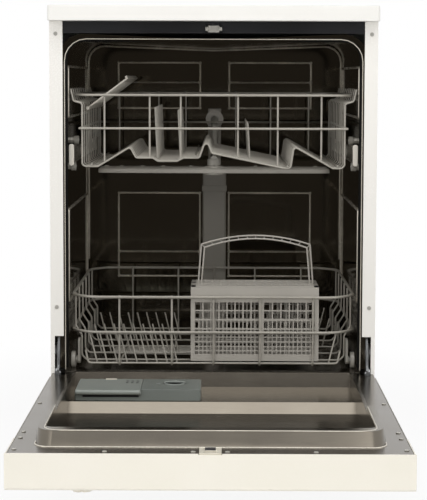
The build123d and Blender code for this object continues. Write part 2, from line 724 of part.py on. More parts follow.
# Sliding detergent lid with a rolled front lip and a grid of small holes
def detergent_lid():
    x0 = DISP_X[0] + 2
    x1 = DISP_SPLIT - 0.6
    y0, y1 = DISP_Y
    low = DISP_TOP - LID_T
    lid = block(x0, x1, y0 - 4, y1 - 2, low, DISP_TOP + 0.4)
    lip = rod((x0, y0 - 4, low - 1.2), (x1, y0 - 4, low - 1.2), 4.6, 16)
    lip &= block(x0, x1, y0 - 10, y0 - RUN_GAP, low - 6, DISP_TOP + 0.4)
    lid += lip
    lid -= block(LATCH_X - 10.4, LATCH_X + 10.4, y1 - 8.4, y1, low - 1, DISP_TOP + 1)
    for i in range(3):
        for j in range(2):
            x = x1 - 9 - 9 * i
            y = y1 - 22 - 16 * j
            lid -= block(x - 2, x + 2, y - 3, y + 3, low - 1, DISP_TOP + 1)
    return lid


def lid_latch():
    y1 = DISP_Y[1]
    low = DISP_TOP - LID_T
    tab = block(LATCH_X - 10, LATCH_X + 10, y1 - 8, y1 - 0.5, low - 1.0, DISP_TOP + 1.2)
    return tab


def rinse_cap():
    x, y = CAP_SPOT
    cap = post(x, y, DISP_TOP - 5.5, DISP_TOP + 1.5, CAP_R, 24)
    cap -= post(x, y, DISP_TOP - 1.5, DISP_TOP + 2, CAP_R - 3, 24)
    cap += block(x - CAP_R + 1, x + CAP_R - 1, y - 2, y + 2, DISP_TOP - 2, DISP_TOP + 3.5)
    return cap + post(x, y, DISP_TOP - 14, DISP_TOP - 5.5, CAP_R - 6, 12)


# Upper rack: one cross wire, drawn from lip to lip across the shaped floor
UP_CROSS = [
    (-262, 699), (-257, 677), (-241, 673), (-241, 560), (-234, 557), (-212, 557),
    (-153, 593), (-142, 571), (-101, 566), (-26, 571), (-13, 610), (-3, 582),
    (130, 554.5), (142, 554.5), (148, 595), (220, 554.5), (236, 554.5), (241, 560),
    (241, 673), (257, 677), (262, 699),
]


def up_rows():
    return [UP_FRONT + i * UP_PITCH for i in range(UP_COUNT)]


def upper_cross_wires():
    made = []
    for y in up_rows():
        points = [(x, y, z) for x, z in UP_CROSS]
        made.append(wire(points, WIRE, flat=(0, 1, 0), sides=4))
    return made


def loop_wires(half, y0, y1, z, cut_x, cut_y, width):
    # A closed rim as two mitred halves that meet at the middle of front and back
    made = []
    for side in (-1, 1):
        near = [(side * (half - cut_x), y0, z), (side * half, y0 + cut_y, z)]
        far = [(side * half, y1 - cut_y, z), (side * (half - cut_x), y1, z)]
        if cut_x == 0:
            near, far = near[:1], far[:1]
        points = [(0, y0, z), *near, *far, (0, y1, z)]
        made.append(wire(points, width, flat=(0, 1, 0)))
    return made


def upper_rim_wires():
    reach = (WIRE + RIM_WIRE) / 2
    y0 = UP_FRONT - reach
    y1 = up_rows()[-1] + reach
    made = loop_wires(254, y0, y1, UP_RIM_Z, 20, 24, RIM_WIRE)
    made += loop_wires(241 + reach, y0, y1, UP_MID_Z, 0, 0, RIM_WIRE)
    for x in (-223, -33, 136, 228):
        z = standing_height(x, WIRE) + WIRE / 2
        made.append(wire([(x, y0, z), (x, y1, z)], WIRE))
    return made


def standing_height(x, width):
    # Where the foot of an upright of this width meets the top of the cross wire at x
    for (xa, za), (xb, zb) in zip(UP_CROSS, UP_CROSS[1:]):
        if xa <= x <= xb and xb - xa > 9:
            slope = (zb - za) / (xb - xa)
            rise = WIRE / 2 * (1 + slope ** 2) ** 0.5 + width / 2 * abs(slope)
            return za + slope * (x - xa) + rise + 0.1
    raise ValueError(f"no flat run of the cross wire at x = {x}")


def upper_tines():
    made = []
    rows = up_rows()
    for y in (rows[0], rows[-1]):
        for x in (-200, -117, -60, 45, 118, 198):
            foot = standing_height(x, WIRE)
            made.append(wire([(x, y, foot), (x, y, UP_RIM_Z + 4)], WIRE, flat=(0, 1, 0)))
    for x, top in ((-105, 665), (-62, 660), (68, 636)):
        for y in rows[1:-1]:
            foot = standing_height(x, TINE) + 0.2
            made.append(wire([(x, y, foot), (x - 4, y, top)], TINE, flat=(0, 1, 0), sides=4))
    return made


def wheel_bracket(y):
    inner = 241 + WIRE / 2 + 0.25
    web = 241 + WIRE / 2 + RIM_WIRE + 0.5
    wheel_x = RAIL_OUT - RAIL_SHEET - RUN_GAP - UP_WHEEL_T
    clip = block(inner, web, y - 22, y + 22, 596, 618)
    clip += block(web, web + 2.2, y - 22, y + 22, RAIL_Z - 9, 620)
    clip += rod((web, y, RAIL_Z), (wheel_x - RUN_GAP, y, RAIL_Z), 6, 8)
    return clip + rod((web, y, RAIL_Z), (wheel_x + UP_WHEEL_T - 0.6, y, RAIL_Z), AXLE_R, 8)


def upper_wheel_brackets():
    made = []
    for y in UP_WHEEL_Y:
        made += both_sides(wheel_bracket(y))
    return made


def upper_wheel_r():
    return RAIL_H / 2 - RAIL_SHEET - RUN_GAP


def wheel(x, y, z, width, radius, sides):
    body = rod((x, y, z), (x + width, y, z), radius, sides)
    return body - rod((x - 1, y, z), (x + width + 1, y, z), AXLE_R + AXLE_FIT, 12, True)


def upper_wheels(y):
    x = RAIL_OUT - RAIL_SHEET - RUN_GAP - UP_WHEEL_T
    return both_sides(wheel(x, y, RAIL_Z, UP_WHEEL_T, upper_wheel_r(), 20))


# C-shaped rails that roll on the tub wall, open towards the rack
def upper_rails():
    x1 = RAIL_OUT
    x0 = x1 - RAIL_D
    rail = block(x0, x1, RAIL_Y[0], RAIL_Y[1], RAIL_Z - RAIL_H / 2, RAIL_Z + RAIL_H / 2)
    inner = RAIL_H / 2 - RAIL_SHEET
    rail -= block(x0 - 1, x1 - RAIL_SHEET, RAIL_Y[0] - 1, RAIL_Y[1] + 1, RAIL_Z - inner, RAIL_Z + inner)
    return both_sides(rail)


def rail_end_caps():
    x0 = RAIL_OUT - RAIL_D - 0.5
    front = block(x0, RAIL_OUT + 0.2, RAIL_Y[0] - 5.5, RAIL_Y[0], RAIL_Z - 20, RAIL_Z + 20)
    front = chamfer(front.edges().filter_by(Axis.Y), 2.5)
    back = block(x0 + 1, RAIL_OUT, RAIL_Y[1], RAIL_Y[1] + 4, RAIL_Z - 15, RAIL_Z + 15)
    return both_sides(front) + both_sides(back)


def roller_spots():
    reach = RAIL_H / 2 + ROLLER_R + RUN_GAP
    return [(ROLLER_Y[0], RAIL_Z - reach), (ROLLER_Y[1], RAIL_Z + reach)]


# Studs in the tub wall that carry the rail rollers
def roller_studs():
    made = []
    for y, z in roller_spots():
        stud = rod((TUB_W / 2 - 0.05, y, z), (RAIL_OUT - RAIL_D - 0.4, y, z), AXLE_R, 8)
        stud += rod((TUB_W / 2 - 0.05, y, z), (RAIL_OUT + 1.0, y, z), 6.0, 8)
        made += both_sides(stud)
    return made


def rail_roller(spot):
    y, z = spot
    x0 = RAIL_OUT - RAIL_D
    return both_sides(wheel(x0, y, z, RAIL_D + 0.6, ROLLER_R, 16))


# Tilting cup shelf: a ribbed plastic tray hinged on the rack's side wall
def cup_shelf():
    tray = block(0, SHELF_W, SHELF_Y[0], SHELF_Y[1], -1.5, 1.5)
    tray = chamfer(tray.edges().filter_by(Axis.Z), 8)
    bars = 11
    pitch = (SHELF_Y[1] - SHELF_Y[0] - 24) / bars
    for i in range(bars):
        y = SHELF_Y[0] + 12 + pitch * (i + 0.5)
        tray -= block(14, SHELF_W - 12, y - pitch * 0.32, y + pitch * 0.32, -4, 4)
    tray += rod((0, SHELF_Y[0] + 4, 0), (0, SHELF_Y[1] - 4, 0), SHELF_PIVOT_R, 12)
    tray += block(SHELF_W - 4, SHELF_W, SHELF_Y[0] + 8, SHELF_Y[1] - 8, -1.5, 5)
    return Pos(SHELF_PIVOT[0], 0, SHELF_PIVOT[1]) * Rot(0, -SHELF_TILT, 0) * tray


# Pipe under the upper rack: from the docking mouth at the back to the arm's hub
def upper_feed_pipe():
    z = FEED_Z
    back = TUB_BACK - EMBOSS_H - DUCT_D - 10 - 0.6
    pipe = rod((0, ARM_Y - 14, z), (0, FEED_RISE_Y, z), FEED_R, 12)
    pipe += rod((0, FEED_RISE_Y, z - FEED_R), (0, FEED_RISE_Y, DOCK_Z + FEED_R), FEED_R, 12)
    pipe += rod((0, FEED_RISE_Y, DOCK_Z), (0, back, DOCK_Z), FEED_R, 12)
    pipe += rod((0, back - 3, DOCK_Z), (0, back, DOCK_Z), FEED_R + 3, 16)
    pipe += post(0, ARM_Y, UP_ARM_Z + 13.8, z, 13, 16)
    return pipe + block(-3, 3, ARM_Y + 20, ARM_Y + 150, z + FEED_R - 2, FEED_RIB_TOP)


def upper_spray_arm():
    jets = (-0.93, -0.8, -0.62, -0.44, -0.2, 0.36, 0.88)
    return spray_arm(458, 46, UP_ARM_Z, 12, 19, jets, UP_ARM_Z - 4)


def front_row_y():
    # The first cross wire of the lower rack lies behind the upright rim wires
    return LOW_FRONT + RIM_WIRE / 2 + WIRE * 1.5 + 0.6


# Lower rack: cross wires step in towards the floor to leave room for the wheels
def low_cross(y, half):
    side = [(half, LOW_RIM_Z + 3), (half, 256), (246, 238), (246, 200), (238, LOW_FLOOR_Z)]
    points = [(-x, y, z) for x, z in side] + [(x, y, z) for x, z in reversed(side)]
    return wire(points, WIRE, flat=(1, 0, 0))


def lower_cross_wires():
    half = LOW_HALF - (WIRE + RIM_WIRE) / 2
    made = [low_cross(y, half) for y in LOW_ROWS]
    y = front_row_y()
    ends = [(-236, y, 216), (-231, y, LOW_FLOOR_Z), (231, y, LOW_FLOOR_Z), (236, y, 216)]
    made.append(wire(ends, WIRE, flat=(1, 0, 0)))
    return made


def lower_rim_wires():
    made = loop_wires(LOW_HALF, LOW_FRONT, LOW_REAR, LOW_RIM_Z, 37, 36, RIM_WIRE)
    made += loop_wires(LOW_HALF, LOW_FRONT, LOW_REAR, LOW_MID_Z, 37, 36, RIM_WIRE)
    reach = (WIRE + RIM_WIRE) / 2
    low = LOW_FLOOR_Z - WIRE - 0.05
    for x in (-173, -76, 1, 87, 185):
        y0 = LOW_FRONT + reach + 0.02
        y1 = LOW_REAR - reach - 0.02
        points = [(x, y0, LOW_RIM_Z + 3), (x, y0, low), (x, y1, low), (x, y1, LOW_RIM_Z + 3)]
        made.append(wire(points, WIRE, flat=(0, 1, 0)))
    return made


def lower_tines():
    made = []
    height = 53.5
    lean = height * tan(radians(14))
    foot = LOW_FLOOR_Z + WIRE / 2 + 0.5
    front_row = front_row_y()
    rows = [(front_row, -1, 9), (LOW_ROWS[1], -1, 9), (LOW_ROWS[3], -1, 9)]
    rows += [(front_row, 1, 1), (LOW_ROWS[2], 1, 9), (LOW_ROWS[4], 1, 9)]
    for y, side, count in rows:
        for i in range(count):
            x = side * (215 - i * 18.6)
            tip = (x + side * lean, y, foot + height)
            made.append(wire([(x, y, foot), tip], TINE, flat=(0, 1, 0), sides=4))
    return made


def low_wheel_z():
    return LEDGE_Z + RUN_GAP + LOW_WHEEL_R


def wheel_clip(y):
    z = low_wheel_z()
    inner = 246 + WIRE / 2 + 0.05
    clip = block(inner, inner + 4, y - 13, y + 13, z - 6, z + 40)
    clip = chamfer(clip.edges().filter_by(Axis.X), 4)
    clip += rod((inner, y, z), (LOW_WHEEL_X - RUN_GAP, y, z), 7, 8)
    return clip + rod((inner, y, z), (LOW_WHEEL_X + LOW_WHEEL_T - 0.6, y, z), AXLE_R, 8)


def lower_wheel_clips():
    made = []
    for y in LOW_WHEEL_Y:
        made += both_sides(wheel_clip(y))
    return made


def lower_wheels(y):
    return both_sides(wheel(LOW_WHEEL_X, y, low_wheel_z(), LOW_WHEEL_T, LOW_WHEEL_R, 24))


def pierced_wall(x0, x1, y, z0, z1, columns, rows):
    wall = block(x0, x1, y, y + BASKET_WALL, z0, z1)
    for left, right, count in columns:
        pitch = (right - left) / count
        for i in range(count):
            for low, high in rows:
                cx = left + pitch * i
                wall -= block(cx + 1.4, cx + pitch - 1.4, y - 1, y + BASKET_WALL + 1, low, high)
    return wall


# Cutlery basket from moulded panels: pierced walls, ends, dividers and a slotted floor
def cutlery_basket():
    x0, x1 = BASKET_X
    y0, y1 = BASKET_Y
    z0, z1 = BASKET_Z
    w = BASKET_WALL
    columns = [(x0 + 8, x0 + 122, 4), (x0 + 129, x1 - 8, 3)]
    rows = [(z0 + 13 + 38.6 * i, z0 + 48 + 38.6 * i) for i in range(3)]
    front = pierced_wall(x0, x1, y0, z0, z1, columns, rows)
    back = pierced_wall(x0, x1, y1 - w, z0, z1, columns, rows)
    made = [front, back]
    for x in (x0, x1 - w):
        end = block(x, x + w, y0 + w, y1 - w, z0, z1)
        for i in range(4):
            y = y0 + 10 + 18.5 * i
            end -= block(x - 1, x + w + 1, y, y + 14, z0 + 14, z1 - 14)
        made.append(end)
    floor = block(x0 + w, x1 - w, y0 + w, y1 - w, z0, z0 + w)
    for i in range(9):
        x = x0 + 14 + 24.5 * i
        floor -= block(x, x + 14, y0 + 12, y1 - 12, z0 - 1, z0 + w + 1)
    made.append(floor)
    mid = (y0 + y1) / 2
    spine = block(x0 + w, x1 - w, mid - 1.2, mid + 1.2, z0 + w, z1 - 1)
    made.append(spine)
    for i in (1, 2, 3):
        x = x0 + (x1 - x0) * i / 4
        made.append(block(x - 0.9, x + 0.9, y0 + w, mid - 1.2, z0 + w, z1 - 6))
        made.append(block(x - 0.9, x + 0.9, mid + 1.2, y1 - w, z0 + w, z1 - 6))
    made.append(basket_handle(mid))
    return made


def basket_handle(mid):
    # Arched carrying handle that stands on the spine of the basket
    left = BASKET_X[0] + 14
    right = BASKET_X[1] - 12.5
    foot = BASKET_Z[1] - 1 + 0.02
    shoulder = 412.0
    centre = (left + right) / 2
    bar = 3.0
    outline = [(left, foot), (left + 2, shoulder), (centre, HANDLE_TOP), (right - 2, shoulder), (right, foot)]
    inner = [(right - bar, foot), (right - 2 - bar, shoulder - 2), (centre, HANDLE_TOP - bar)]
    inner += [(left + 2 + bar, shoulder - 2), (left + bar, foot)]
    face = make_face(Plane.XZ * Polyline(*outline, *inner, close=True))
    return Pos(0, mid - 2.5, 0) * extrude(face, 5.0, dir=(0, 1, 0))


# Slotted cover of one half of the basket, hinged along its outer edge
def basket_cover(front):
    x0 = BASKET_X[0] + 1
    x1 = BASKET_X[1] - 1
    mid = (BASKET_Y[0] + BASKET_Y[1]) / 2
    low = BASKET_Z[1] + RUN_GAP
    if front:
        y0, y1 = BASKET_Y[0], mid - 3.2
    else:
        y0, y1 = mid + 3.2, BASKET_Y[1]
    cover = block(x0, x1, y0, y1, low, low + 2.4)
    corners = cover.edges().filter_by(Axis.Z).sort_by(Axis.Y)
    cover = chamfer(corners[:2] if front else corners[-2:], 6)
    for i in range(10):
        x = x0 + 12 + 21.5 * i
        cover -= block(x, x + 13, y0 + 9, y1 - 7, low - 1, low + 4)
    return cover


def circulation_pump():
    y = ARM_Y + SUMP_OFFSET + 110.1
    z = FLOOR_UNDER - 48
    body = rod((0, y, z), (0, y + 26, z), 40, 20) + rod((0, y + 26, z), (0, y + 104, z), 33, 16)
    body += rod((0, y + 104, z), (0, y + 112, z), 20, 12)
    foot = block(-30, 30, y + 40, y + 90, 34.05, z - 28)
    return body + foot - rod((0, y - 1, z), (0, y + 12, z), 12, 12)


def drain_pump():
    y = ARM_Y + SUMP_OFFSET
    z = FLOOR_UNDER - 52
    body = rod((-150, y, z), (-112, y, z), 24, 16) + block(-196, -150, y - 22, y + 22, z - 22, z + 22)
    body += rod((-130, y, z), (-130, y + 60, z), 10, 10) - rod((-130, y + 26, z), (-130, y + 61, z), 8, 10)
    return body + block(-190, -120, y - 14, y + 14, 34.05, z - 18)


def heater():
    tube = rod((90, 440, 80), (230, 440, 80), 21, 16)
    for x in (84, 230):
        tube += rod((x, 440, 80), (x + 6, 440, 80), 25, 16)
    for x in (110, 210):
        tube += rod((x, 440, 80), (x, 440, 116), 10, 10)
    return tube + block(120, 200, 430, 450, 34.05, 62)


# Inlet valve whose threaded stub reaches out through the tray's back wall
def inlet_valve():
    wall = REAR_REACH - 8.0
    x = INLET_X
    body = block(x - 20, x + 20, wall - 60, wall - BASE_WALL - 0.3, 60, 96)
    body += post(x, wall - 32, 96, 116, 14, 12)
    stub = rod((x, wall - BASE_WALL - 0.3, INLET_Z), (x, REAR_REACH, INLET_Z), INLET_R, 16)
    stub -= rod((x, wall - 20, INLET_Z), (x, REAR_REACH + 1, INLET_Z), INLET_R - 3.7, 12)
    return body + stub + block(x - 14, x + 14, wall - 50, wall - 20, 34.05, 60)


if __name__ == "__main__":
    os.makedirs("parts", exist_ok=True)
    panel = side_panel()
    save("worktop", worktop())
    save("side_panel_right", panel)
    save("side_panel_left", mirrored(panel))
    save("rear_panel", rear_panel())
    save("base_tray", base_tray())
    save("levelling_feet", feet())
    save("plinth", plinth())
    save("tub_wrapper", tub_wrapper())
    save("tub_back_wall", tub_back_wall())
    save("tub_floor", tub_floor())
    save("front_frame", front_frame())
    save("door_gasket", door_gasket())
    save("latch_striker", latch_striker())
    save("cabinet_fixings", flange_screws(), roller_studs())
    save("hinge_brackets", hinge_brackets())
    save("water_duct", water_duct())
    save("docking_connector", docking_connector())
    save("sump", sump())
    save("filter_plate", filter_plate())
    save("coarse_filter", coarse_filter())
    save("lower_spray_arm", lower_spray_arm())
    save("circulation_pump", circulation_pump())
    save("drain_pump", drain_pump())
    save("heater", heater())
    save("inlet_valve", inlet_valve())
    save("door_outer_panel", door_outer_panel())
    save("door_liner", door_liner())
    save("control_panel", control_panel())
    save("hinge_arms", hinge_arms())
    save("door_catch", door_catch())
    save("door_screws", door_screws())
    save("power_button", panel_button(BUTTON_X[0]))
    save("start_button", panel_button(BUTTON_X[1]))
    save("program_knob", program_knob())
    save("dispenser_body", dispenser_body())
    save("detergent_lid", detergent_lid())
    save("lid_latch", lid_latch())
    save("rinse_cap", rinse_cap())
    save("upper_rails", upper_rails())
    save("rail_end_caps", rail_end_caps())
    save("lower_rail_rollers", rail_roller(roller_spots()[0]))
    save("upper_rail_rollers", rail_roller(roller_spots()[1]))
    save("upper_cross_wires", upper_cross_wires())
    save("upper_rim_wires", upper_rim_wires())
    save("upper_tines", upper_tines())
    save("upper_wheel_brackets", upper_wheel_brackets())
    save("upper_wheels_front", upper_wheels(UP_WHEEL_Y[0]))
    save("upper_wheels_rear", upper_wheels(UP_WHEEL_Y[1]))
    save("cup_shelf", cup_shelf())
    save("upper_feed_pipe", upper_feed_pipe())
    save("upper_spray_arm", upper_spray_arm())
    save("lower_cross_wires", lower_cross_wires())
    save("lower_rim_wires", lower_rim_wires())
    save("lower_tines", lower_tines())
    save("lower_wheel_clips", lower_wheel_clips())
    save("lower_wheels_front", lower_wheels(LOW_WHEEL_Y[0]))
    save("lower_wheels_rear", lower_wheels(LOW_WHEEL_Y[1]))
    save("cutlery_basket", cutlery_basket())
    save("basket_cover_front", basket_cover(True))
    save("basket_cover_rear", basket_cover(False))
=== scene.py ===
# %% [markdown]
# # A freestanding dishwasher with its door open
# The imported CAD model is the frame: it gives every place, size and joint. This
# lesson adds what CAD leaves out: soft edges, round coated wires, a moulded
# cutlery basket, real finishes, light and a camera. Everything is in metres.
# %% Load the frame
import bpy
import bmesh
import json
from math import cos, radians, sin, tau
from mathutils import Matrix, Vector

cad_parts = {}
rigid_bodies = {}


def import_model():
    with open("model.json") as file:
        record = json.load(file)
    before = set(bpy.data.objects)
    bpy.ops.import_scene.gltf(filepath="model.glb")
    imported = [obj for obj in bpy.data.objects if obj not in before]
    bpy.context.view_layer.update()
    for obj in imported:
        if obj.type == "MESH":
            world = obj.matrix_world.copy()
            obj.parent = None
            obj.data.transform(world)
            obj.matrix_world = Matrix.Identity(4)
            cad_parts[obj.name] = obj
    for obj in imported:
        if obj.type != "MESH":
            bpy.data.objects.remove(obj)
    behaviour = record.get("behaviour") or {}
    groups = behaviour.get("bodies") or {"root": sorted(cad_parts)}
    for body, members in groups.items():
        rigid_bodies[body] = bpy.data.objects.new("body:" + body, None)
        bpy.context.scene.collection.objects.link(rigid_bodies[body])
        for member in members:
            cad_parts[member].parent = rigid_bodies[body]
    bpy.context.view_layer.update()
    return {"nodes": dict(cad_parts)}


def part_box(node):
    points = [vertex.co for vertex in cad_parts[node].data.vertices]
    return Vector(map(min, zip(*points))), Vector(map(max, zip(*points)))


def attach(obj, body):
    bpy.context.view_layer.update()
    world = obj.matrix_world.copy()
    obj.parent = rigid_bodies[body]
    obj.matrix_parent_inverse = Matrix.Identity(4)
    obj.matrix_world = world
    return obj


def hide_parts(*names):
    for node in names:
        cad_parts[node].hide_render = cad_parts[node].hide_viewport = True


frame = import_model()

# %% [markdown]
# Places are written in millimetres, with depth counted from the cabinet's front
# plane, because that is how a kitchen appliance is dimensioned. One function turns
# them into the frame's metres.
# %% Places in millimetres
FRONT = 45.0


def place(x, y, z):
    return Vector((x, y + FRONT, z)) / 1000


def places(points):
    return [place(*p) for p in points]


print("cabinet front at", place(0, 0, 0))

# %% [markdown]
# Colours are written as sRGB hex, as a picture editor shows them. Blender mixes
# light in linear values, so one function converts them. A second function adds a
# shader node with its settings and links, which keeps every finish readable.
# %% Colour and node helpers


def linear(code):
    parts = [int(code[i:i + 2], 16) / 255 for i in (1, 3, 5)]
    return (*[c / 12.92 if c < 0.04045 else ((c + 0.055) / 1.055) ** 2.4 for c in parts], 1.0)


def add(tree, kind, inputs=None, **settings):
    made = tree.nodes.new(kind)
    for key, value in settings.items():
        setattr(made, key, value)
    for key, value in (inputs or {}).items():
        if isinstance(value, bpy.types.NodeSocket):
            tree.links.new(value, made.inputs[key])
        else:
            made.inputs[key].default_value = value
    return made


print("mid grey in linear values:", linear("#808080")[0])

# %% [markdown]
# ## Finishes
# Most parts here are one of three things: enamelled sheet, moulded plastic or steel.
# Each is a Principled shader whose colour wanders between two close tones, whose
# gloss varies, and whose surface has a fine relief. The grain is in real
# millimetres and can be stretched along an axis, as brushed sheet is.
# %% A finish from a real grain


def finish(name, tones, grain, gloss, relief, stretch=(1, 1, 1), cloud=90, **shader):
    """tones: two hex colours; grain and relief in mm; gloss: roughness range."""
    made = bpy.data.materials.new(name)
    made.use_nodes = True
    tree = made.node_tree
    tree.nodes.clear()
    spot = add(tree, "ShaderNodeTexCoord").outputs["Object"]
    drawn = add(tree, "ShaderNodeMapping", {"Vector": spot, "Scale": stretch}).outputs[0]
    fine = add(tree, "ShaderNodeTexNoise", {"Vector": drawn, "Scale": 1000 / grain, "Detail": 3.0})
    wide = add(tree, "ShaderNodeTexNoise", {"Vector": spot, "Scale": 1000 / cloud, "Detail": 2.0})
    both = add(tree, "ShaderNodeMath", {0: fine.outputs[0], 1: wide.outputs[0]}, operation="ADD")
    half = add(tree, "ShaderNodeMapRange", {"Value": both.outputs[0], "From Min": 0.6, "From Max": 1.4})
    colour = add(tree, "ShaderNodeMix", {0: half.outputs[0], 6: linear(tones[0]), 7: linear(tones[1])},
                 data_type="RGBA")
    rough = add(tree, "ShaderNodeMapRange",
                {"Value": half.outputs[0], "To Min": gloss[0], "To Max": gloss[1]})
    bump = add(tree, "ShaderNodeBump",
               {"Height": fine.outputs[0], "Distance": relief / 1000, "Strength": 1.0})
    skin = add(tree, "ShaderNodeBsdfPrincipled",
               {"Base Color": colour.outputs[2], "Roughness": rough.outputs[0],
                "Normal": bump.outputs[0], **shader})
    add(tree, "ShaderNodeOutputMaterial", {"Surface": skin.outputs[0]})
    return made


# White polyester enamel on sheet steel: a clean gloss with a trace of orange peel
enamel = finish("white_enamel_sheet", ("#F2EEE3", "#F3EFE5"), 3.0, (0.26, 0.28), 0.003, cloud=400,
                **{"Coat Weight": 0.25, "Coat Roughness": 0.12})
# The cabinet's sides take a whiter copy of the door's enamel, as painted light for the brighter light that
# falls on them
side_enamel_lit = finish("white_enamel_cabinet", ("#F8F5EE", "#F9F6F0"), 3.0, (0.26, 0.28), 0.003, cloud=400,
                     **{"Coat Weight": 0.25, "Coat Roughness": 0.12})
# Melamine laminate of the worktop: a little more matt, with a fine even grain
laminate = finish("white_laminate", ("#F4F2EC", "#F8F6F1"), 1.2, (0.32, 0.42), 0.012)
# White ABS of the door's head and keys: soft sheen
white_abs = finish("white_moulded_abs", ("#F2EDDF", "#F5F0E4"), 1.4, (0.28, 0.36), 0.010)
# Rolled stainless sheet of the tub: drawn lines too fine to show are coarsened to 0.8 mm
tub_steel = finish("rolled_stainless_tub", ("#847E72", "#928C80"), 0.8, (0.05, 0.10), 0.0015,
                   stretch=(1, 1, 0.03), Metallic=1.0)
# The floor is drawn deeper and has been scoured by water, so it mirrors less
floor_steel = finish("rolled_stainless_floor", ("#7A746A", "#88827A"), 0.8, (0.12, 0.22), 0.002,
                     stretch=(1, 0.03, 1), Metallic=1.0)
# Inner door panel: the same sheet, pressed and slightly duller, drawn across the door; its base tone is
# darker than the tub's, as painted shade for its dim reflections
liner_steel = finish("pressed_stainless_liner", ("#6B655C", "#777167"), 0.8, (0.18, 0.28), 0.003,
                     stretch=(0.03, 1, 1), Metallic=1.0)
# Zinc-plated screws look pale and slightly matt
screw_zinc = finish("zinc_plated_screws", ("#B9B6AE", "#C9C6BE"), 0.5, (0.35, 0.5), 0.004, Metallic=0.45)
# Rails and striker are cold-rolled strip: bright, with a fine even grain
bright_steel = finish("bright_steel_fixings", ("#B9B4AA", "#CBC6BC"), 0.6, (0.18, 0.3), 0.004,
                      Metallic=1.0)
# Zinc-coated sheet has a broad spangle and a dull sheen
zinc = finish("zinc_coated_sheet", ("#9A9C9D", "#B0B2B3"), 9.0, (0.38, 0.55), 0.006, Metallic=1.0)
# Black base and frame: a matt, faintly pebbled moulding that gives the mouth its dark edge
black_pp = finish("black_moulded_polypropylene", ("#17171A", "#202023"), 0.7, (0.42, 0.56), 0.015)
# Feet: dark grey and dull, with glass fibre showing as a coarse grain
foot_pp = finish("dark_glass_filled_nylon", ("#2A2A2D", "#353538"), 0.7, (0.5, 0.62), 0.02)
# Plinth: satin paint, greyer than the enamel, so that it steps back
plinth_paint = finish("satin_plinth_paint", ("#D8D6D1", "#DEDCD7"), 1.6, (0.4, 0.5), 0.008)
# Black door seal: nearly no gloss, so it reads as a dark band round the mouth
rubber = finish("extruded_epdm_seal", ("#0B0B0A", "#12110F"), 0.9, (0.6, 0.75), 0.02,
                **{"Specular IOR Level": 0.15})
# Grey polypropylene of pipes and filter: soft sheen, slightly warm
grey_pp = finish("grey_moulded_polypropylene", ("#A39F96", "#ADA9A0"), 0.7, (0.36, 0.48), 0.012)
# The duct on the back wall is the same plastic; it looks darker only for lack of light
duct_pp = finish("grey_duct_polypropylene", ("#A09B92", "#AAA69C"), 0.7, (0.36, 0.48), 0.012)
# Spray arms: a shade paler than the pipes, as they show against the dark tub
arm_pp = finish("spray_arm_polypropylene", ("#B6B1A7", "#C1BCB2"), 0.7, (0.34, 0.46), 0.012)
# Acetal of the shelf and end caps: palest plastic in the tub, with a crisp sheen
pale_pp = finish("pale_moulded_acetal", ("#D3CDC1", "#DDD7CB"), 0.7, (0.3, 0.42), 0.010)
# Pumps: dark, dull nylon with a grain of glass fibre
pump_pa = finish("dark_pump_housing_nylon", ("#3B3C3E", "#46474A"), 0.8, (0.45, 0.6), 0.02)
# Dispenser: slate plastic, cooler than everything round it; its lid and rinse cap take a paler copy of it
# as painted light, for their brighter-lit faces and edges
soap_pp = finish("slate_dispenser_polypropylene", ("#757A75", "#7F847F"), 0.7, (0.32, 0.44), 0.012)
soap_painted_light = finish("slate_lid_polypropylene", ("#8B908A", "#959A94"), 0.7, (0.30, 0.42), 0.012)
# Latch and catch: cream acetal, the one warm accent on the inner door
latch_pp = finish("cream_latch_acetal", ("#DAD3C2", "#E2DCCD"), 0.7, (0.3, 0.4), 0.010)
# Basket: warm grey, satin, so that its lattice shows as light lines
basket_pp = finish("warm_grey_basket_polypropylene", ("#A8A39A", "#B2ADA4"), 0.7, (0.36, 0.5), 0.012)
# Nylon-dipped wire: thick soft coating, glossy, with slight runs along the wire
dipped = finish("grey_nylon_dipped_wire", ("#A19C92", "#B0ABA0"), 2.2, (0.26, 0.38), 0.03,
                **{"Coat Weight": 0.2, "Coat Roughness": 0.2})
# Wheels: light grey acetal, with a soft shine on the rims
wheel_pp = finish("light_grey_wheel_acetal", ("#A9A59C", "#B4B0A7"), 0.7, (0.3, 0.42), 0.010)
print("finishes:", len(bpy.data.materials))
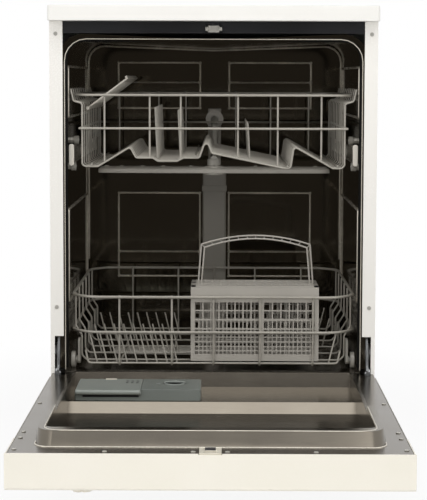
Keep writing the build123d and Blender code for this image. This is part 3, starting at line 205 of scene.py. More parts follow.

# %% [markdown]
# Every CAD node that stays visible gets one of these finishes in its slots. Its mesh isn't touched. The
# table also keeps each node's finish, so that pieces which replace a node later take the same one.
# %% Finishes for the CAD nodes
ALL_WHEELS = ["upper_wheels_front", "upper_wheels_rear", "lower_wheels_front",
              "lower_wheels_rear", "lower_rail_rollers", "upper_rail_rollers"]
coats = {
    laminate: ["worktop"],
    # The sides take the whiter copy of the enamel: painted light
    side_enamel_lit: ["side_panel_right", "side_panel_left"],
    enamel: ["door_outer_panel"],
    white_abs: ["control_panel", "power_button", "start_button", "program_knob"],
    zinc: ["rear_panel", "hinge_brackets", "hinge_arms"],
    black_pp: ["base_tray", "front_frame", "drain_pump"],
    foot_pp: ["levelling_feet"],
    plinth_paint: ["plinth"],
    tub_steel: ["tub_wrapper", "tub_back_wall"],
    floor_steel: ["tub_floor", "filter_plate"],
    # The liner's darker steel is painted shade
    liner_steel: ["door_liner"],
    bright_steel: ["upper_rails", "latch_striker"],
    screw_zinc: ["cabinet_fixings", "door_screws"],
    rubber: ["door_gasket"],
    duct_pp: ["water_duct", "docking_connector"],
    arm_pp: ["lower_spray_arm", "upper_spray_arm"],
    grey_pp: ["upper_feed_pipe", "coarse_filter",
              "upper_wheel_brackets", "lower_wheel_clips", "sump"],
    pale_pp: ["rail_end_caps", "cup_shelf"],
    pump_pa: ["circulation_pump", "heater", "inlet_valve"],
    soap_pp: ["dispenser_body"],
    # Lid and cap take the paler slate copy: painted light
    soap_painted_light: ["detergent_lid", "rinse_cap"],
    latch_pp: ["door_catch", "lid_latch"],
    dipped: ["upper_cross_wires", "upper_rim_wires", "upper_tines", "lower_cross_wires",
             "lower_rim_wires", "lower_tines"],
    wheel_pp: ALL_WHEELS,
    basket_pp: ["cutlery_basket", "basket_cover_front", "basket_cover_rear"],
}
coat_of = {node: coat for coat, nodes in coats.items() for node in nodes}
for name, thing in frame["nodes"].items():
    for held in thing.material_slots:
        held.material = coat_of[name]
print("nodes without a finish:", [n for n in frame["nodes"] if n not in coat_of])

# %% [markdown]
# ## Camera
# The photograph was taken from about 2.9 m in front and a little above the middle,
# with a long lens that looks slightly down. The small shift centres the picture.
# %% Camera
eye = bpy.data.objects.new("camera", bpy.data.cameras.new("camera"))
bpy.context.collection.objects.link(eye)
eye.location = (0.01438, -2.9019, 0.71987)
eye.rotation_euler = (radians(90 - 4.64), radians(-0.17), 0.0049)
eye.data.sensor_fit = "HORIZONTAL"
eye.data.sensor_width = 36.0
eye.data.lens = 136.3
eye.data.shift_y = -0.096
bpy.context.scene.camera = eye
print("field of view", eye.data.angle)

# %% [markdown]
# ## Floor and light
# The floor is plain white and keeps a faint shadow. Where a camera, mirror or glass
# ray meets it or the world it is white at strength 1, so the page behind the object
# is white without any extra light on the object itself.
# %% Floor and world


def seen_white(tree):
    ray = add(tree, "ShaderNodeLightPath")
    clear = add(tree, "ShaderNodeMath", {0: ray.outputs["Is Camera Ray"], 1: ray.outputs["Is Glossy Ray"]},
                operation="MAXIMUM")
    return add(tree, "ShaderNodeMath", {0: clear.outputs[0], 1: ray.outputs["Is Transmission Ray"]},
               operation="MAXIMUM").outputs[0]


white_floor = bpy.data.materials.new("plain_white_floor")
white_floor.use_nodes = True
tree = white_floor.node_tree
tree.nodes.clear()
paint = add(tree, "ShaderNodeBsdfDiffuse", {"Color": linear("#FAFAFA")})
page = add(tree, "ShaderNodeEmission", {"Color": (1, 1, 1, 1), "Strength": 1.0})
spot = add(tree, "ShaderNodeTexCoord").outputs["Object"]
away = add(tree, "ShaderNodeVectorMath", {0: spot}, operation="LENGTH")
fade = add(tree, "ShaderNodeMapRange", {"Value": away.outputs["Value"], "From Min": 0.7,
                                        "From Max": 1.5, "To Min": 0.9, "To Max": 1.0})
share = add(tree, "ShaderNodeMath", {0: seen_white(tree), 1: fade.outputs[0]}, operation="MULTIPLY")
mixed = add(tree, "ShaderNodeMixShader", {0: share.outputs[0], 1: paint.outputs[0], 2: page.outputs[0]})
add(tree, "ShaderNodeOutputMaterial", {"Surface": mixed.outputs[0]})
sheet = bpy.data.meshes.new("floor")
sheet.from_pydata([(-6, -4, 0), (6, -4, 0), (6, 6, 0), (-6, 6, 0)], [], [(0, 1, 2, 3)])
sheet.materials.append(white_floor)
ground = bpy.data.objects.new("floor", sheet)
bpy.context.collection.objects.link(ground)

sky = bpy.data.worlds.new("studio")
bpy.context.scene.world = sky
sky.use_nodes = True
tree = sky.node_tree
tree.nodes.clear()
level = add(tree, "ShaderNodeMapRange", {"Value": seen_white(tree), "To Min": 0.38, "To Max": 1.0})
air = add(tree, "ShaderNodeBackground", {"Color": (1, 1, 1, 1), "Strength": level.outputs[0]})
add(tree, "ShaderNodeOutputWorld", {"Surface": air.outputs[0]})
print("world strength for light 0.38, seen as 1")

# %% [markdown]
# Four large soft lamps stand in for a product studio: one overhead, slightly in
# front, one to the left, a weaker one to the right and a fill from the front that
# gloss doesn't see. They are large, so that edges in their shadows stay soft.
# %% Lamps


def lamp(name, spot, aim, size, power):
    made = bpy.data.objects.new(name, bpy.data.lights.new(name, "AREA"))
    bpy.context.collection.objects.link(made)
    made.data.shape = "RECTANGLE"
    made.data.size, made.data.size_y = size
    made.data.energy = power
    made.location = spot
    turn = Vector(aim) - Vector(spot)
    made.rotation_euler = turn.to_track_quat("-Z", "Y").to_euler()


lamp("overhead", (0.1, -1.55, 2.9), (0, -0.3, 0.4), (3.0, 1.9), 34)
lamp("left_bank", (-2.3, -1.9, 1.5), (0, 0, 0.45), (1.2, 1.8), 15)
lamp("right_bank", (2.4, -1.6, 1.3), (0, 0, 0.45), (1.0, 1.6), 10)
lamp("front_fill", (0.2, -2.6, 1.1), (0, 0.2, 0.5), (1.0, 0.8), 11)
bpy.data.objects["front_fill"].visible_glossy = False

# A dark screen behind the camera and on the floor before it is seen only in gloss.
# It gives polished steel its dark tones, as an unlit room does.
screen_paint = bpy.data.materials.new("dark_studio_screen")
screen_paint.use_nodes = True
tree = screen_paint.node_tree
tree.nodes.clear()
felt = add(tree, "ShaderNodeEmission", {"Color": linear("#3A3631"), "Strength": 1.0})
add(tree, "ShaderNodeOutputMaterial", {"Surface": felt.outputs[0]})
sheet = bpy.data.meshes.new("screen")
corners = [(-2.2, -1.1, 0.004), (2.2, -1.1, 0.004), (2.2, -3.6, 0.004), (-2.2, -3.6, 0.004),
           (2.2, -3.6, 2.6), (-2.2, -3.6, 2.6)]
sheet.from_pydata(corners, [], [(0, 3, 2, 1), (3, 5, 4, 2)])
sheet.materials.append(screen_paint)
screen = bpy.data.objects.new("screen", sheet)
bpy.context.collection.objects.link(screen)
screen.visible_camera = False
screen.visible_diffuse = False
screen.visible_shadow = False
screen.visible_transmission = False
bpy.context.scene.view_settings.view_transform = "Standard"
print("lamps ready")

# %% [markdown]
# ## Helpers for meshes
# A softened copy starts as the CAD node's triangles, merged, with flat areas joined
# again, and gets small rounded edges, because a moulding or a folded sheet has no
# knife edge and its rounded edge is what catches the light.
# %% Mesh helpers


def thing_from(name, bm, coat):
    mesh = bpy.data.meshes.new(name)
    bm.to_mesh(mesh)
    bm.free()
    mesh.materials.append(coat)
    made = bpy.data.objects.new(name, mesh)
    bpy.context.collection.objects.link(made)
    return made


def baked(thing):
    """The evaluated shape as a plain mesh object of the same name."""
    bpy.context.view_layer.update()
    graph = bpy.context.evaluated_depsgraph_get()
    mesh = bpy.data.meshes.new_from_object(thing.evaluated_get(graph))
    name = thing.name
    bpy.data.objects.remove(thing)
    made = bpy.data.objects.new(name, mesh)
    bpy.context.collection.objects.link(made)
    return made


def finished(thing, body, nodes):
    """Rides on its body and stands for CAD nodes, which it hides."""
    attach(thing, body)
    if nodes:
        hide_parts(*nodes)
    print(thing.name, "faces", len(thing.data.polygons), "on", body)
    return thing


def softened(node, radius, angle=40, steps=2):
    """A CAD node's copy with its edges rounded by a radius in mm."""
    bm = bmesh.new()
    bm.from_mesh(frame["nodes"][node].data)
    bmesh.ops.remove_doubles(bm, verts=bm.verts, dist=1e-6)
    bmesh.ops.dissolve_limit(bm, angle_limit=radians(1), verts=bm.verts, edges=bm.edges)
    for face in bm.faces:
        face.smooth = True
    if not radius:
        for seam in bm.edges:
            seam.smooth = not (seam.is_manifold and seam.calc_face_angle() > radians(angle))
    made = thing_from(node + "_rounded", bm, coat_of[node])
    if radius:
        edge = made.modifiers.new("edge", "BEVEL")
        edge.width = radius / 1000
        edge.segments = steps
        edge.limit_method = "ANGLE"
        edge.angle_limit = radians(angle)
        edge.use_clamp_overlap = True
    level = made.modifiers.new("level", "WEIGHTED_NORMAL")
    level.weight = 100
    level.keep_sharp = True
    made = baked(made)
    return finished(made, frame["nodes"][node].parent.name.split(":")[-1], [node])


print("helpers ready")

# %% [markdown]
# ## Sheet, mouldings and seals
# Folded sheet keeps a bend radius of about its own thickness, and moulded plastic
# has a corner radius of half a millimetre or more. The radii below are in
# millimetres, by piece.
# %% Rounded copies of sheet and moulded pieces
RADII = {
    "worktop": 1.6, "side_panel_left": 0.8, "side_panel_right": 0.8, "door_outer_panel": 1.2,
    "control_panel": 1.6, "plinth": 0.8, "rear_panel": 0.4, "base_tray": 1.0, "front_frame": 0.8,
    "tub_wrapper": 0, "tub_floor": 0.5, "sump": 0.6,
    "door_liner": 0.45, "hinge_brackets": 0.4, "hinge_arms": 0.5,
    "water_duct": 1.4, "filter_plate": 0.3, "coarse_filter": 0.6,
    "door_catch": 0.9, "dispenser_body": 0.8,
    "detergent_lid": 0.7, "lid_latch": 0.6, "rinse_cap": 0.7, "upper_rails": 0.35,
    "rail_end_caps": 1.4, "cup_shelf": 0.7, "upper_wheel_brackets": 0.8,
    "lower_wheel_clips": 0.8, "lower_spray_arm": 1.0, "upper_spray_arm": 1.0,
    "power_button": 0.5, "start_button": 0.5, "program_knob": 0.6, "inlet_valve": 0.8,
    "cabinet_fixings": 0.25, "door_screws": 0.25,
}
for node, radius in RADII.items():
    softened(node, radius)

# %% [markdown]
# ## Racks of coated wire
# A dishwasher rack is steel wire, bent cold, welded at each crossing and dipped in
# nylon, so every wire is round and every bend has a radius. Each wire is drawn as a
# bent line. A Geometry Nodes tree rounds its bends, sweeps a round section along it
# and repeats it at the rack's pitch, so one drawn wire gives a whole row.
# %% A tree that sweeps and repeats a bent wire


def wire_rows_tree():
    tree = bpy.data.node_groups.new("bent_wire_rows", "GeometryNodeTree")
    sockets = [("Line", "Geometry", "INPUT"), ("Wire radius", "Float", "INPUT"),
               ("Bend radius", "Float", "INPUT"), ("Count", "Int", "INPUT"),
               ("Step", "Vector", "INPUT"), ("Coat", "Material", "INPUT"),
               ("Wire", "Geometry", "OUTPUT")]
    for label, kind, side in sockets:
        tree.interface.new_socket(label, in_out=side, socket_type="NodeSocket" + kind)
    given = add(tree, "NodeGroupInput").outputs
    line = add(tree, "GeometryNodeMeshToCurve", {"Mesh": given["Line"]})
    bent = add(tree, "GeometryNodeFilletCurve",
               {"Curve": line.outputs[0], "Count": 5, "Radius": given["Bend radius"],
                "Limit Radius": True}, mode="POLY")
    section = add(tree, "GeometryNodeCurvePrimitiveCircle",
                  {"Resolution": 10, "Radius": given["Wire radius"]})
    tube = add(tree, "GeometryNodeCurveToMesh",
               {"Curve": bent.outputs[0], "Profile Curve": section.outputs[0], "Fill Caps": True})
    row = add(tree, "GeometryNodeMeshLine", {"Count": given["Count"], "Offset": given["Step"]})
    many = add(tree, "GeometryNodeInstanceOnPoints",
               {"Points": row.outputs[0], "Instance": tube.outputs[0]})
    real = add(tree, "GeometryNodeRealizeInstances", {"Geometry": many.outputs[0]})
    smooth = add(tree, "GeometryNodeSetShadeSmooth", {"Geometry": real.outputs[0]})
    coated = add(tree, "GeometryNodeSetMaterial",
                 {"Geometry": smooth.outputs[0], "Material": given["Coat"]})
    add(tree, "NodeGroupOutput", {"Wire": coated.outputs[0]})
    return tree


def grown(name, mesh, tree, values):
    """A mesh object put through a tree; its inputs are set by their identifiers."""
    made = bpy.data.objects.new(name, mesh)
    bpy.context.collection.objects.link(made)
    step = made.modifiers.new("grow", "NODES")
    step.node_group = tree
    for item in tree.interface.items_tree:
        if item.in_out == "INPUT" and item.name in values:
            step[item.identifier] = values[item.name]
    return baked(made)


WIRE_ROWS = wire_rows_tree()


def wires(lines, thick, bend, count=1, step=(0, 0, 0), closed=False, coat=None):
    """lines: lists of places in mm; thick, bend and step in mm."""
    mesh = bpy.data.meshes.new("line")
    spots, edges = [], []
    for line in lines:
        first = len(spots)
        spots += places(line)
        edges += [(i, i + 1) for i in range(first, len(spots) - 1)]
        if closed:
            edges.append((len(spots) - 1, first))
    mesh.from_pydata(spots, edges, [])
    values = {"Wire radius": thick / 2000, "Bend radius": bend / 1000, "Count": count,
              "Step": [s / 1000 for s in step], "Coat": coat or dipped}
    return grown("wire", mesh, WIRE_ROWS, values)


def gathered(name, things, body, nodes, coat=None):
    """Several plain meshes become one piece of one finish."""
    bm = bmesh.new()
    for thing in things:
        bm.from_mesh(thing.data)
        bpy.data.objects.remove(thing)
    made = thing_from(name, bm, coat or coat_of[nodes[0]])
    return finished(made, body, nodes)


print("tree inputs:", [i.name for i in WIRE_ROWS.interface.items_tree])

# %% [markdown]
# The upper rack's floor is shaped: one cross wire rises and falls between the tub's
# centre pipe and the walls, and ends in a lip bent outwards. Eleven of them stand
# 44 mm apart. Uprights, tines and lengthwise runners stand on that same line, so
# its height at any width is worked out from the line itself.
# %% Upper rack
LENGTHWAYS = 44
CROSS = [(-262, 699), (-257, 677), (-241, 673), (-241, 560), (-234, 557), (-212, 557),
         (-153, 593), (-142, 573), (-111, 573), (-102, 567), (-67, 567), (-55, 573), (-26, 573),
         (-13, 610), (-3, 582),
         (130, 554.5), (142, 554.5), (148, 595), (220, 554.5), (236, 554.5), (241, 560),
         (241, 673), (257, 677), (262, 699)]


def height_on_cross(x, rise):
    for (xa, za), (xb, zb) in zip(CROSS, CROSS[1:]):
        if xa <= x <= xb and xb - xa > 8:
            return za + (zb - za) * (x - xa) / (xb - xa) + rise
    return CROSS[0][1]


def rounded_loop(half, y0, y1, z, cut_x, cut_y):
    side = [(half - cut_x, y0, z), (half, y0 + cut_y, z), (half, y1 - cut_y, z), (half - cut_x, y1, z)]
    return side + [(-x, y, z) for x, y, z in reversed(side)]


NEAR, CROSS_BEND = 22, 5.5
ends = wires([[(x, NEAR, z) for x, z in CROSS]], 3.6, CROSS_BEND, 2, (0, 10 * LENGTHWAYS, 0))
inner = wires([[(x, NEAR + LENGTHWAYS, z) for x, z in CROSS]], 2.2, CROSS_BEND, 9, (0, LENGTHWAYS, 0))
gathered("upper_rack_cross_wires", [ends, inner], "upper_rack", ["upper_cross_wires"])

rim = wires([rounded_loop(254, 17.4, 466.6, 688, 20, 24)], 4.6, 26, closed=True)
belt = wires([rounded_loop(245.6, 17.4, 466.6, 627, 0.5, 0.5)], 4.4, 9, closed=True)
runners = [[(x, 17.4, height_on_cross(x, 4.4)), (x, 466.6, height_on_cross(x, 4.4))]
           for x in (-223, -33, 136, 228)]
gathered("upper_rack_rims", [rim, belt, wires(runners, 3.4, 1)], "upper_rack", ["upper_rim_wires"])

uprights = [[(x, NEAR, height_on_cross(x, 2.1)), (x, NEAR, 691)]
            for x in (-200, -117, -60, 45, 118, 198)]
parts = [wires(uprights, 3.6, 1, 2, (0, 10 * LENGTHWAYS, 0))]
for x, top in ((-105, 665), (-62, 660), (68, 636)):
    tine = [(x, NEAR + LENGTHWAYS, height_on_cross(x, 2.0)), (x - 4, NEAR + LENGTHWAYS, top)]
    parts.append(wires([tine], 2.4, 1, 9, (0, LENGTHWAYS, 0)))
gathered("upper_rack_tines", parts, "upper_rack", ["upper_tines"])

# %% [markdown]
# The lower rack is a basket of two closed rims, lengthwise wires bent up at both
# ends and cross wires bent up at both sides. The lower part of each side steps in,
# to leave room for the wheels. The plate tines lean outwards in rows of nine.
# %% Lower rack
rims = wires([rounded_loop(262, 14, 482, z, 37, 36) for z in (316, 250.5)], 5.0, 46, closed=True)
long_wires = [[(x, 18.62, 318.5), (x, 18.62, 187.35), (x, 477.38, 187.35), (x, 477.38, 318.5)]
              for x in (-173, -76, 1, 87, 185)]
gathered("lower_rack_rims", [rims, wires(long_wires, 3.9, 12)], "lower_rack", ["lower_rim_wires"])

half_cross = [(257.4, 318.5), (257.4, 256), (246, 238), (246, 200), (238, 191.6)]
side = [(x, 60, z) for x, z in half_cross]
cross_line = side + [(-x, y, z) for x, y, z in reversed(side)]
near_line = [(-236, 23.4, 216), (-231, 23.4, 191.6), (231, 23.4, 191.6), (236, 23.4, 216)]
parts = [wires([cross_line], 3.6, 9, 6, (0, 76, 0)), wires([near_line], 3.8, 6)]
gathered("lower_rack_cross_wires", parts, "lower_rack", ["lower_cross_wires"])

LEAN = 13.3
parts = []
for y, way, count in ((23.4, -1, 9), (136, -1, 9), (288, -1, 9), (23.4, 1, 1), (212, 1, 9), (364, 1, 9)):
    tine = [(way * 215, y, 194.0), (way * (215 + LEAN), y, 247.5)]
    parts.append(wires([tine], 3.0, 1, count, (-way * 18.6, 0, 0)))
gathered("lower_rack_tines", parts, "lower_rack", ["lower_tines"])

# %% [markdown]
# ## Pieces made of many equal bars
# Moulded lattices are rows of the same small bar. A second Geometry Nodes tree puts
# one bar of a given size at a start and repeats it by a step, so that a field of a
# lattice is a single call of it.
# %% A tree that repeats a moulded bar


def bar_rows_tree():
    tree = bpy.data.node_groups.new("moulded_bar_rows", "GeometryNodeTree")
    sockets = [("Start", "Vector", "INPUT"), ("Size", "Vector", "INPUT"), ("Count", "Int", "INPUT"),
               ("Step", "Vector", "INPUT"), ("Coat", "Material", "INPUT"), ("Bars", "Geometry", "OUTPUT")]
    for label, kind, side in sockets:
        tree.interface.new_socket(label, in_out=side, socket_type="NodeSocket" + kind)
    given = add(tree, "NodeGroupInput").outputs
    bar = add(tree, "GeometryNodeMeshCube", {"Size": given["Size"]})
    row = add(tree, "GeometryNodeMeshLine",
              {"Count": given["Count"], "Start Location": given["Start"], "Offset": given["Step"]})
    many = add(tree, "GeometryNodeInstanceOnPoints",
               {"Points": row.outputs[0], "Instance": bar.outputs[0]})
    real = add(tree, "GeometryNodeRealizeInstances", {"Geometry": many.outputs[0]})
    coated = add(tree, "GeometryNodeSetMaterial",
                 {"Geometry": real.outputs[0], "Material": given["Coat"]})
    add(tree, "NodeGroupOutput", {"Bars": coated.outputs[0]})
    return tree


BAR_ROWS = bar_rows_tree()


def bars(x, y, z, count=1, step=(0, 0, 0), coat=None):
    """x, y and z: the (low, high) of the first bar in mm."""
    middle = place(*[(a + b) / 2 for a, b in (x, y, z)])
    size = [(b - a) / 1000 for a, b in (x, y, z)]
    values = {"Start": middle, "Size": size, "Count": count,
              "Step": [s / 1000 for s in step], "Coat": coat or basket_pp}
    return grown("bar", bpy.data.meshes.new("seed"), BAR_ROWS, values)


print("tree inputs:", [i.name for i in BAR_ROWS.interface.items_tree])

# %% [markdown]
# ## Pressings of the tub
# The tub's back wall is stiffened by pressed ribs that frame flat panels. A rib is a half-round fold about
# 3 mm wide, so light runs along it as a thin line. The same wire tree draws the ribs, sunk to half their
# depth in a flat sheet, and gives them a pale steel as painted highlight.
# %% Back wall and ribs of the tub
# The fold of a rib is burnished by its press tool, so it is brighter than the sheet
# The ribs, corner bosses, seam and lip take a pale steel, brighter than the sheet, as painted highlight
highlight_steel = finish("burnished_steel_ribs", ("#DDD6C8", "#EAE3D5"), 0.6, (0.20, 0.32), 0.002, Metallic=0.6)
low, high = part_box("tub_back_wall")
bm = bmesh.new()
bmesh.ops.create_cube(bm, size=1.0)
face_y = (526.0 + FRONT) / 1000
for corner in bm.verts:
    corner.co.x = low[0] if corner.co.x < 0 else high[0]
    corner.co.y = face_y - 0.0006 if corner.co.y < 0 else high[1]
    corner.co.z = low[2] if corner.co.z < 0 else high[2]
plate = thing_from("plate", bm, tub_steel)
PANEL_X, RIB_Y = (31, 206), 525.2
panels = []
for way in (-1, 1):
    for z0, z1 in ((655, 710), (710, 752), (293, 346), (346, 473)):
        near, far = way * PANEL_X[0], way * PANEL_X[1]
        panels.append([(near, RIB_Y, z0), (far, RIB_Y, z0), (far, RIB_Y, z1), (near, RIB_Y, z1)])
gathered("tub_back_wall_sheet", [plate], "cabinet", ["tub_back_wall"], coat=tub_steel)
for way in (-1, 1):
    for z0, z1 in ((646, 740), (300, 473)):
        x = way * 271.0
        panels.append([(x, 70, z0), (x, 495, z0), (x, 495, z1), (x, 70, z1)])
ribs = wires(panels, 4.4, 5, closed=True, coat=highlight_steel)
# Each corner of a panel is drawn a little deeper by the press, as a small round boss, whose pale steel
# paints on a bright dot of highlight
dots = bmesh.new()
for panel in panels[:8]:
    for spot in places(panel):
        bmesh.ops.create_uvsphere(dots, u_segments=12, v_segments=8, radius=0.0031,
                                  matrix=Matrix.Translation(spot))
for face in dots.faces:
    face.smooth = True
dots = thing_from("dots", dots, highlight_steel)
# The wall is rolled into the wrapper along its outline, which follows the ceiling's dip; this seam is a
# painted-highlight line
SEAM_X, SEAM_Y, SEAM_TOP, SEAM_DIP, SEAM_FOOT = 269.9, 523.6, 788, 778, 330
seam_line = [(x, SEAM_Y, z) for x, z in ((-SEAM_X, SEAM_FOOT), (-SEAM_X, SEAM_TOP), (0, SEAM_DIP),
                                         (SEAM_X, SEAM_TOP), (SEAM_X, SEAM_FOOT))]
seam = wires([seam_line], 4.2, 34, coat=highlight_steel)
# The tub's front lip is a thin line of the same painted-highlight steel
lip_line = [(-271.3, 3.2, 182), (-271.3, 3.2, 789.6), (271.3, 3.2, 789.6), (271.3, 3.2, 182)]
lip = wires([lip_line], 1.8, 40, coat=highlight_steel)
gathered("tub_pressed_ribs", [ribs, dots, seam, lip], "cabinet", [], coat=highlight_steel)

# %% [markdown]
# The inner door panel is pressed from one sheet. Each fold has a radius of about a millimetre, which
# catches a thin bright line along the raised ring, at its top and at its foot. These folds are drawn as
# thin round lines laid into the edges, in the pale steel that paints that bright line on as painted
# highlight.
# %% Folds of the inner door panel
top_fold = [(-249.5, -395, 196.4), (-249.5, -577.5, 196.4), (249.5, -577.5, 196.4), (249.5, -395, 196.4)]
foot_fold = [(-261.5, -400, 177.3), (-261.5, -603, 177.3), (261.5, -603, 177.3), (261.5, -400, 177.3)]
folds = [wires([top_fold], 2.2, 25, coat=highlight_steel), wires([foot_fold], 2.0, 25, coat=highlight_steel)]
gathered("door_liner_folds", folds, "door", [], coat=highlight_steel)

# %% [markdown]
# Black blocks are painted shade in small recesses of the dispenser and the catch: in the six vents of the
# lid, in the shadow gap that its finger lip hangs over, and in the catch's mouth.
# %% Painted shade in vents, lip gap and catch mouth
vents = [bars((-153.8, -149.4), (y - 3.3, y + 3.3), (176.2, 178.45), 3, (9.0, 0, 0), coat=black_pp)
         for y in (-88, -104)]
gathered("dispenser_lid_vents", vents, "lid", [], coat=black_pp)
gap = bars((-226, -128), (-165.6, -164.9), (164.6, 168.2), coat=black_pp)
low, high = [[1000 * c for c in corner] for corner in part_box("door_catch")]
middle_y = (low[1] + high[1]) / 2 - FRONT
mouth = bars((-8, 8), (middle_y - 2.5, high[1] - FRONT + 0.1), (high[2] - 3, high[2] + 0.1), coat=black_pp)
gathered("door_dark_recesses", [gap, mouth], "door", [], coat=black_pp)
print("catch box in mm", low, high)

# %% [markdown]
# The striker is a small folded plate on the front frame with an opening that the
# door's catch hooks into.
# %% Latch striker
low, high = [[1000 * c for c in corner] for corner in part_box("latch_striker")]
y = (low[1] - FRONT, high[1] - FRONT)
left, right, foot, top = low[0], high[0], low[2], high[2]
parts = [bars((left, right), y, (foot, foot + 2.6), coat=screw_zinc),
         bars((left, right), y, (top - 2.6, top), coat=screw_zinc),
         bars((left, left + 5), y, (foot, top), coat=screw_zinc),
         bars((right - 5, right), y, (foot, top), coat=screw_zinc),
         bars((left + 4, right - 4), (y[1] - 0.8, y[1]), (foot + 1, top - 1), coat=screw_zinc)]
gathered("latch_striker_plate", parts, "cabinet", ["latch_striker"], coat=screw_zinc)

# %% [markdown]
# The door seal is an extruded rubber strip of three soft ribs. It follows the mouth
# of the tub up one side, across and down the other.
# %% Door seal
low, high = [[1000 * c for c in corner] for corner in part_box("door_gasket")]
RIB = 5.0
side, top = high[0] - RIB / 2, high[2] - RIB / 2
strips = []
for y in (low[1] + RIB / 2, (low[1] + high[1]) / 2, high[1] - RIB / 2):
    y -= FRONT
    strips.append(wires([[(-side, y, low[2]), (-side, y, top), (side, y, top), (side, y, low[2])]],
                        RIB, 32, coat=rubber))
gathered("door_seal_strip", strips, "cabinet", ["door_gasket"], coat=rubber)
print("seal box in mm", low, high)

# %% [markdown]
# The feed pipe runs under the upper rack, turns up behind it and pushes into the
# round connector on the back wall. It is blow moulded, with generous bends.
# %% Feed pipe of the upper arm


def turned(name, profile, spots, coat, steps=32):
    """A turned part: profile of (along x, radius) in mm, spun about each spot's x line."""
    bm = bmesh.new()
    for x, y, z, way in spots:
        rings = []
        for along, radius in profile:
            ring = []
            for k in range(steps):
                turn = tau * k / steps
                rim = place(x + way * along, y + radius * cos(turn), z + radius * sin(turn))
                ring.append(bm.verts.new(rim))
            rings.append(ring)
        for near, far in zip(rings, rings[1:] + rings[:1]):
            for k in range(steps):
                bm.faces.new((near[k], near[(k + 1) % steps], far[(k + 1) % steps], far[k]))
    bmesh.ops.recalc_face_normals(bm, faces=bm.faces)
    for face in bm.faces:
        face.smooth = True
    for seam in bm.edges:
        seam.smooth = seam.calc_face_angle(0) < radians(32)
    return thing_from(name, bm, coat)


pipe = wires([[(0, 252, 559), (0, 487, 559), (0, 487, 632), (0, 511.5, 632)]], 15.0, 22, coat=grey_pp)
hub_profile = [(0, 4), (0, 12.5), (1, 13.2), (13, 13.2), (13.4, 12.6), (13.4, 4)]
hub = turned("hub", hub_profile, [(0, 0, 0, 1)], grey_pp)
hub.data.transform(Matrix.Translation(place(0, 262, 545.8) - place(0, 0, 0)) @
                   Matrix.Translation(place(0, 0, 0)) @ Matrix.Rotation(radians(-90), 4, "Y") @
                   Matrix.Translation(-place(0, 0, 0)))
collar = wires([[(0, 506, 632), (0, 512, 632)]], 20.0, 0, coat=grey_pp)
rib = bars((-2.6, 2.6), (282, 412), (564, 578.2), coat=grey_pp)
gathered("upper_rack_feed_pipe", [pipe, hub, collar, rib], "upper_rack", ["upper_feed_pipe"], coat=grey_pp)

# %% [markdown]
# The connector on the back wall is a round moulding in rings that get narrower
# towards the rack, with a mouth that the pipe pushes into.
# %% Docking connector
low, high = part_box("docking_connector")
reach = 1000 * (high[0] - low[0]) / 2
deep = 1000 * (high[1] - low[1])
rings = [(0, 9.0), (0, reach - 4.6), (deep * 0.3, reach - 4.2), (deep * 0.3, reach - 2.4),
         (deep * 0.6, reach - 2.0), (deep * 0.6, reach - 0.2), (deep, reach - 0.2), (deep, 9.0)]
dock = turned("dock", rings, [(0, 0, 0, 1)], arm_pp, 48)
middle = Vector((0, low[1], (low[2] + high[2]) / 2))
dock.data.transform(Matrix.Translation(middle) @ Matrix.Rotation(radians(90), 4, "Z") @
                    Matrix.Translation(-place(0, 0, 0)))
gathered("docking_connector_rings", [dock], "cabinet", ["docking_connector"], coat=arm_pp)
print("connector box", low, high)

# %% [markdown]
# ## Wheels and rollers
# Each wheel is a turned acetal part: a hub, a thin recessed web and a rounded rim.
# One profile, scaled to each wheel's width and radius, makes them all.
# %% Wheels and rollers


def wheels(node, body, width, radius):
    spots = WHEEL_SPOTS[node]
    rim = radius * 0.82
    profile = [(0.2, 1.7), (0.2, radius * 0.3), (width * 0.28, radius * 0.36), (width * 0.28, rim),
               (0.2, rim + 0.4), (0.2, radius - 0.7), (0.9, radius), (width - 0.9, radius),
               (width - 0.2, radius - 0.7), (width - 0.2, rim + 0.4), (width * 0.72, rim),
               (width * 0.72, radius * 0.36), (width - 0.2, radius * 0.3), (width - 0.2, 1.7)]
    made = turned(node + "_turned", profile, spots, grey_pp if "roller" in node else wheel_pp)
    return finished(made, body, [node])


WHEEL_SPOTS = {
    "upper_wheels_front": [(way * 257.3, 250, 578, way) for way in (-1, 1)],
    "upper_wheels_rear": [(way * 257.3, 450, 578, way) for way in (-1, 1)],
    "lower_wheels_front": [(way * 257.0, 56, 193.0, way) for way in (-1, 1)],
    "lower_wheels_rear": [(way * 257.0, 436, 193.0, way) for way in (-1, 1)],
    "lower_rail_rollers": [(way * 256.5, 70, 554.7, way) for way in (-1, 1)],
    "upper_rail_rollers": [(way * 256.5, 132, 601.3, way) for way in (-1, 1)],
}
wheels("upper_wheels_front", "upper_front_wheels", 6.4, 13.15)
wheels("upper_wheels_rear", "upper_rear_wheels", 6.4, 13.15)
wheels("lower_wheels_front", "lower_front_wheels", 8.0, 15.0)
wheels("lower_wheels_rear", "lower_rear_wheels", 8.0, 15.0)
wheels("lower_rail_rollers", "rollers_below", 9.6, 8.0)
wheels("upper_rail_rollers", "rollers_above", 9.6, 8.0)

# %% [markdown]
# ## Cutlery basket
# The basket is injection moulded: a stout frame, a centre post and a lattice of thin
# bars, open so that water gets through, coarse at the top and fine at the bottom so
# that handles don't poke out.
# The fields and posts below are measured on the photograph: a 119 mm field, a 9 mm
# post and a 90 mm field across the front, and eight rows of openings.
# %% Lattice walls, floor and dividers
BX, BY, BZ = (-41.0, 196.0), (22.0, 112.0), (196.0, 334.0)
WALL = 2.2
# Top of each row of openings, its height, and whether its bars stand wide apart
OPENINGS = [(305.4, 14.1, True), (288.9, 14.4, True), (271.6, 14.1, False), (254.7, 13, False),
            (239.2, 6.0, False), (230.7, 6.9, False), (221.9, 5.6, False), (214, 5.2, False)]
BAND_TOP, BAND_FOOT, WIDE_FOOT = OPENINGS[0][0], 208.8, 272.0
FIELDS = [(-33.4, 85.6, 16), (94.6, 188.4, 12)]


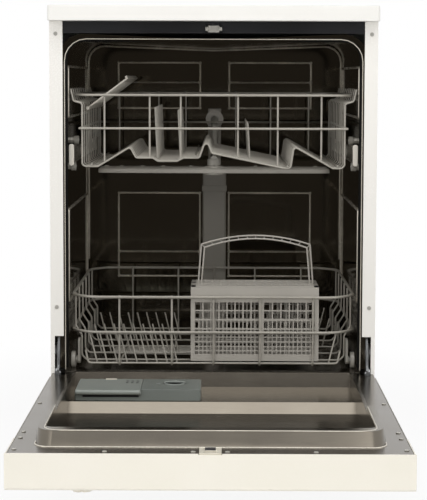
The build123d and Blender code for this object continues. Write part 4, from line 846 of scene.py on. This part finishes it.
def lattice(y0):
    y = (y0, y0 + WALL)
    band = (y0 + 0.1, y0 + WALL - 0.1)
    rung = (y0 + 0.2, y0 + WALL - 0.2)
    across = (BX[0] + 0.1, BX[1] - 0.1)
    tall_z = (BZ[0] + 0.1, BZ[1] - 0.1)
    parts = [bars((BX[0], BX[0] + 7.6), y, tall_z), bars((BX[1] - 7.6, BX[1]), y, tall_z),
             bars((85.6, 94.6), y, tall_z), bars(across, band, (BAND_TOP, 334)),
             bars(across, band, (196, BAND_FOOT))]
    for (top, tall, wide), after in zip(OPENINGS, OPENINGS[1:]):
        parts.append(bars(across, rung, (after[0], top - tall)))
    for left, right, count in FIELDS:
        fine = (right - left) / count
        for pitch, low, high, thick in ((fine * 2, WIDE_FOOT, BAND_TOP, 2.6),
                                        (fine, BAND_FOOT, WIDE_FOOT, 2.0)):
            number = round((right - left) / pitch) - 1
            first = (left + pitch - thick / 2, left + pitch + thick / 2)
            parts.append(bars(first, (y0 + 0.35, y0 + WALL - 0.35), (low, high), number, (pitch, 0, 0)))
    return parts


def basket_end(x0):
    x = (x0 + 0.05, x0 + WALL - 0.05)
    inner = (BY[0] + WALL - 0.5, BY[1] - WALL + 0.5)
    parts = [bars(x, inner, (BAND_TOP, 334)), bars(x, inner, (196, BAND_FOOT))]
    parts += [bars(x, inner, (top, top + 2.4)) for top, tall, wide in OPENINGS[1:]]
    parts.append(bars((x0 + 0.3, x0 + WALL - 0.3), (31, 34), (BAND_FOOT, BAND_TOP), 8, (0, 9.6, 0)))
    return parts


pieces = lattice(BY[0]) + lattice(BY[1] - WALL) + basket_end(BX[0]) + basket_end(BX[1] - WALL)
pieces.append(bars((BX[0] + WALL, BX[1] - WALL), (BY[0] + WALL, BY[0] + 9), (196, 198.2)))
pieces.append(bars((BX[0] + WALL, BX[1] - WALL), (BY[1] - 9, BY[1] - WALL), (196, 198.2)))
pieces.append(bars((BX[0] + WALL, BX[0] + 6), (31, 103), (196, 198.2), 26, (9.0, 0, 0)))
pieces += [bars((BX[0] + WALL, BX[1] - WALL), (65.8, 68.2), span)
           for span in ((322, 333), (262, 270), (197, 214))]
pieces.append(bars((BX[0] + WALL, BX[0] + WALL + 3), (66, 68), (198, 332.8), 17, (14.4, 0, 0)))
for x in (18.25, 77.5, 136.75):
    for span in ((312, 328), (262, 270), (198, 214)):
        pieces.append(bars((x - 0.9, x + 0.9), (BY[0] + 2, 66), span))
        pieces.append(bars((x - 0.9, x + 0.9), (68, BY[1] - 2), span))
    pieces.append(bars((x - 0.8, x + 0.8), (32, 35), (198.2, 327), 8, (0, 9.6, 0)))
print("lattice fields:", len(pieces))

# %% [markdown]
# The carrying handle arches over the basket. It is a light open channel: two thin
# rails side by side, joined by short webs, which shows as two light lines with a
# dark one between. The wire tree sweeps both rails and repeats the webs.
# %% Basket handle
CENTRE = 79.6


def arch(reach, top):
    """Half of the arch's outline, mirrored about the middle of the basket."""
    half = [(reach, 333), (reach - 5.8, top - 16.9)]
    crown = [((reach - 5.8) * share, top - 16.9 * share * share) for share in (0.83, 0.66, 0.5, 0.33, 0.16)]
    right = half + crown
    points = [(CENTRE + x, z) for x, z in right] + [(CENTRE, top)]
    points += [(CENTRE - x, z) for x, z in reversed(right)]
    return [(x, 67, z) for x, z in points]


outer, inner = arch(107.6, 426.0), arch(101.6, 420.0)
pieces.append(wires([outer, inner], 3.2, 3, coat=basket_pp))
pieces.append(wires([(a, b) for a, b in zip(outer, inner)], 1.6, 0, coat=basket_pp))
gathered("cutlery_basket_moulding", pieces, "basket", ["cutlery_basket"])

# %% [markdown]
# Two slotted covers are hinged on the basket's long edges and hold cutlery apart.
# Each is a flat frame, split by a lengthwise bar, with a row of thinner cross bars
# that lie a little deeper.
# %% Basket covers


def cover(name, y0, y1, body, node):
    x0, x1 = BX[0] + 1, BX[1] - 1
    z = (334.35, 336.7)
    parts = [bars((x0, x1), (y0, y0 + 7), z), bars((x0, x1), (y1 - 6, y1), z),
             bars((x0, x1), ((y0 + y1) / 2 - 1.5, (y0 + y1) / 2 + 1.5), z),
             bars((x0, x0 + 8), (y0, y1), z), bars((x1 - 8, x1), (y0, y1), z)]
    pitch = (x1 - x0 - 16) / 14
    bar = (x0 + 8 + pitch - 1.7, x0 + 8 + pitch + 1.7)
    parts.append(bars(bar, (y0 + 1, y1 - 1), (334.4, 335.6), 13, (pitch, 0, 0)))
    return gathered(name, parts, body, [node])


cover("basket_cover_near", 22.0, 63.8, "front_cover", "basket_cover_front")
cover("basket_cover_far", 70.2, 112.0, "rear_cover", "basket_cover_rear")
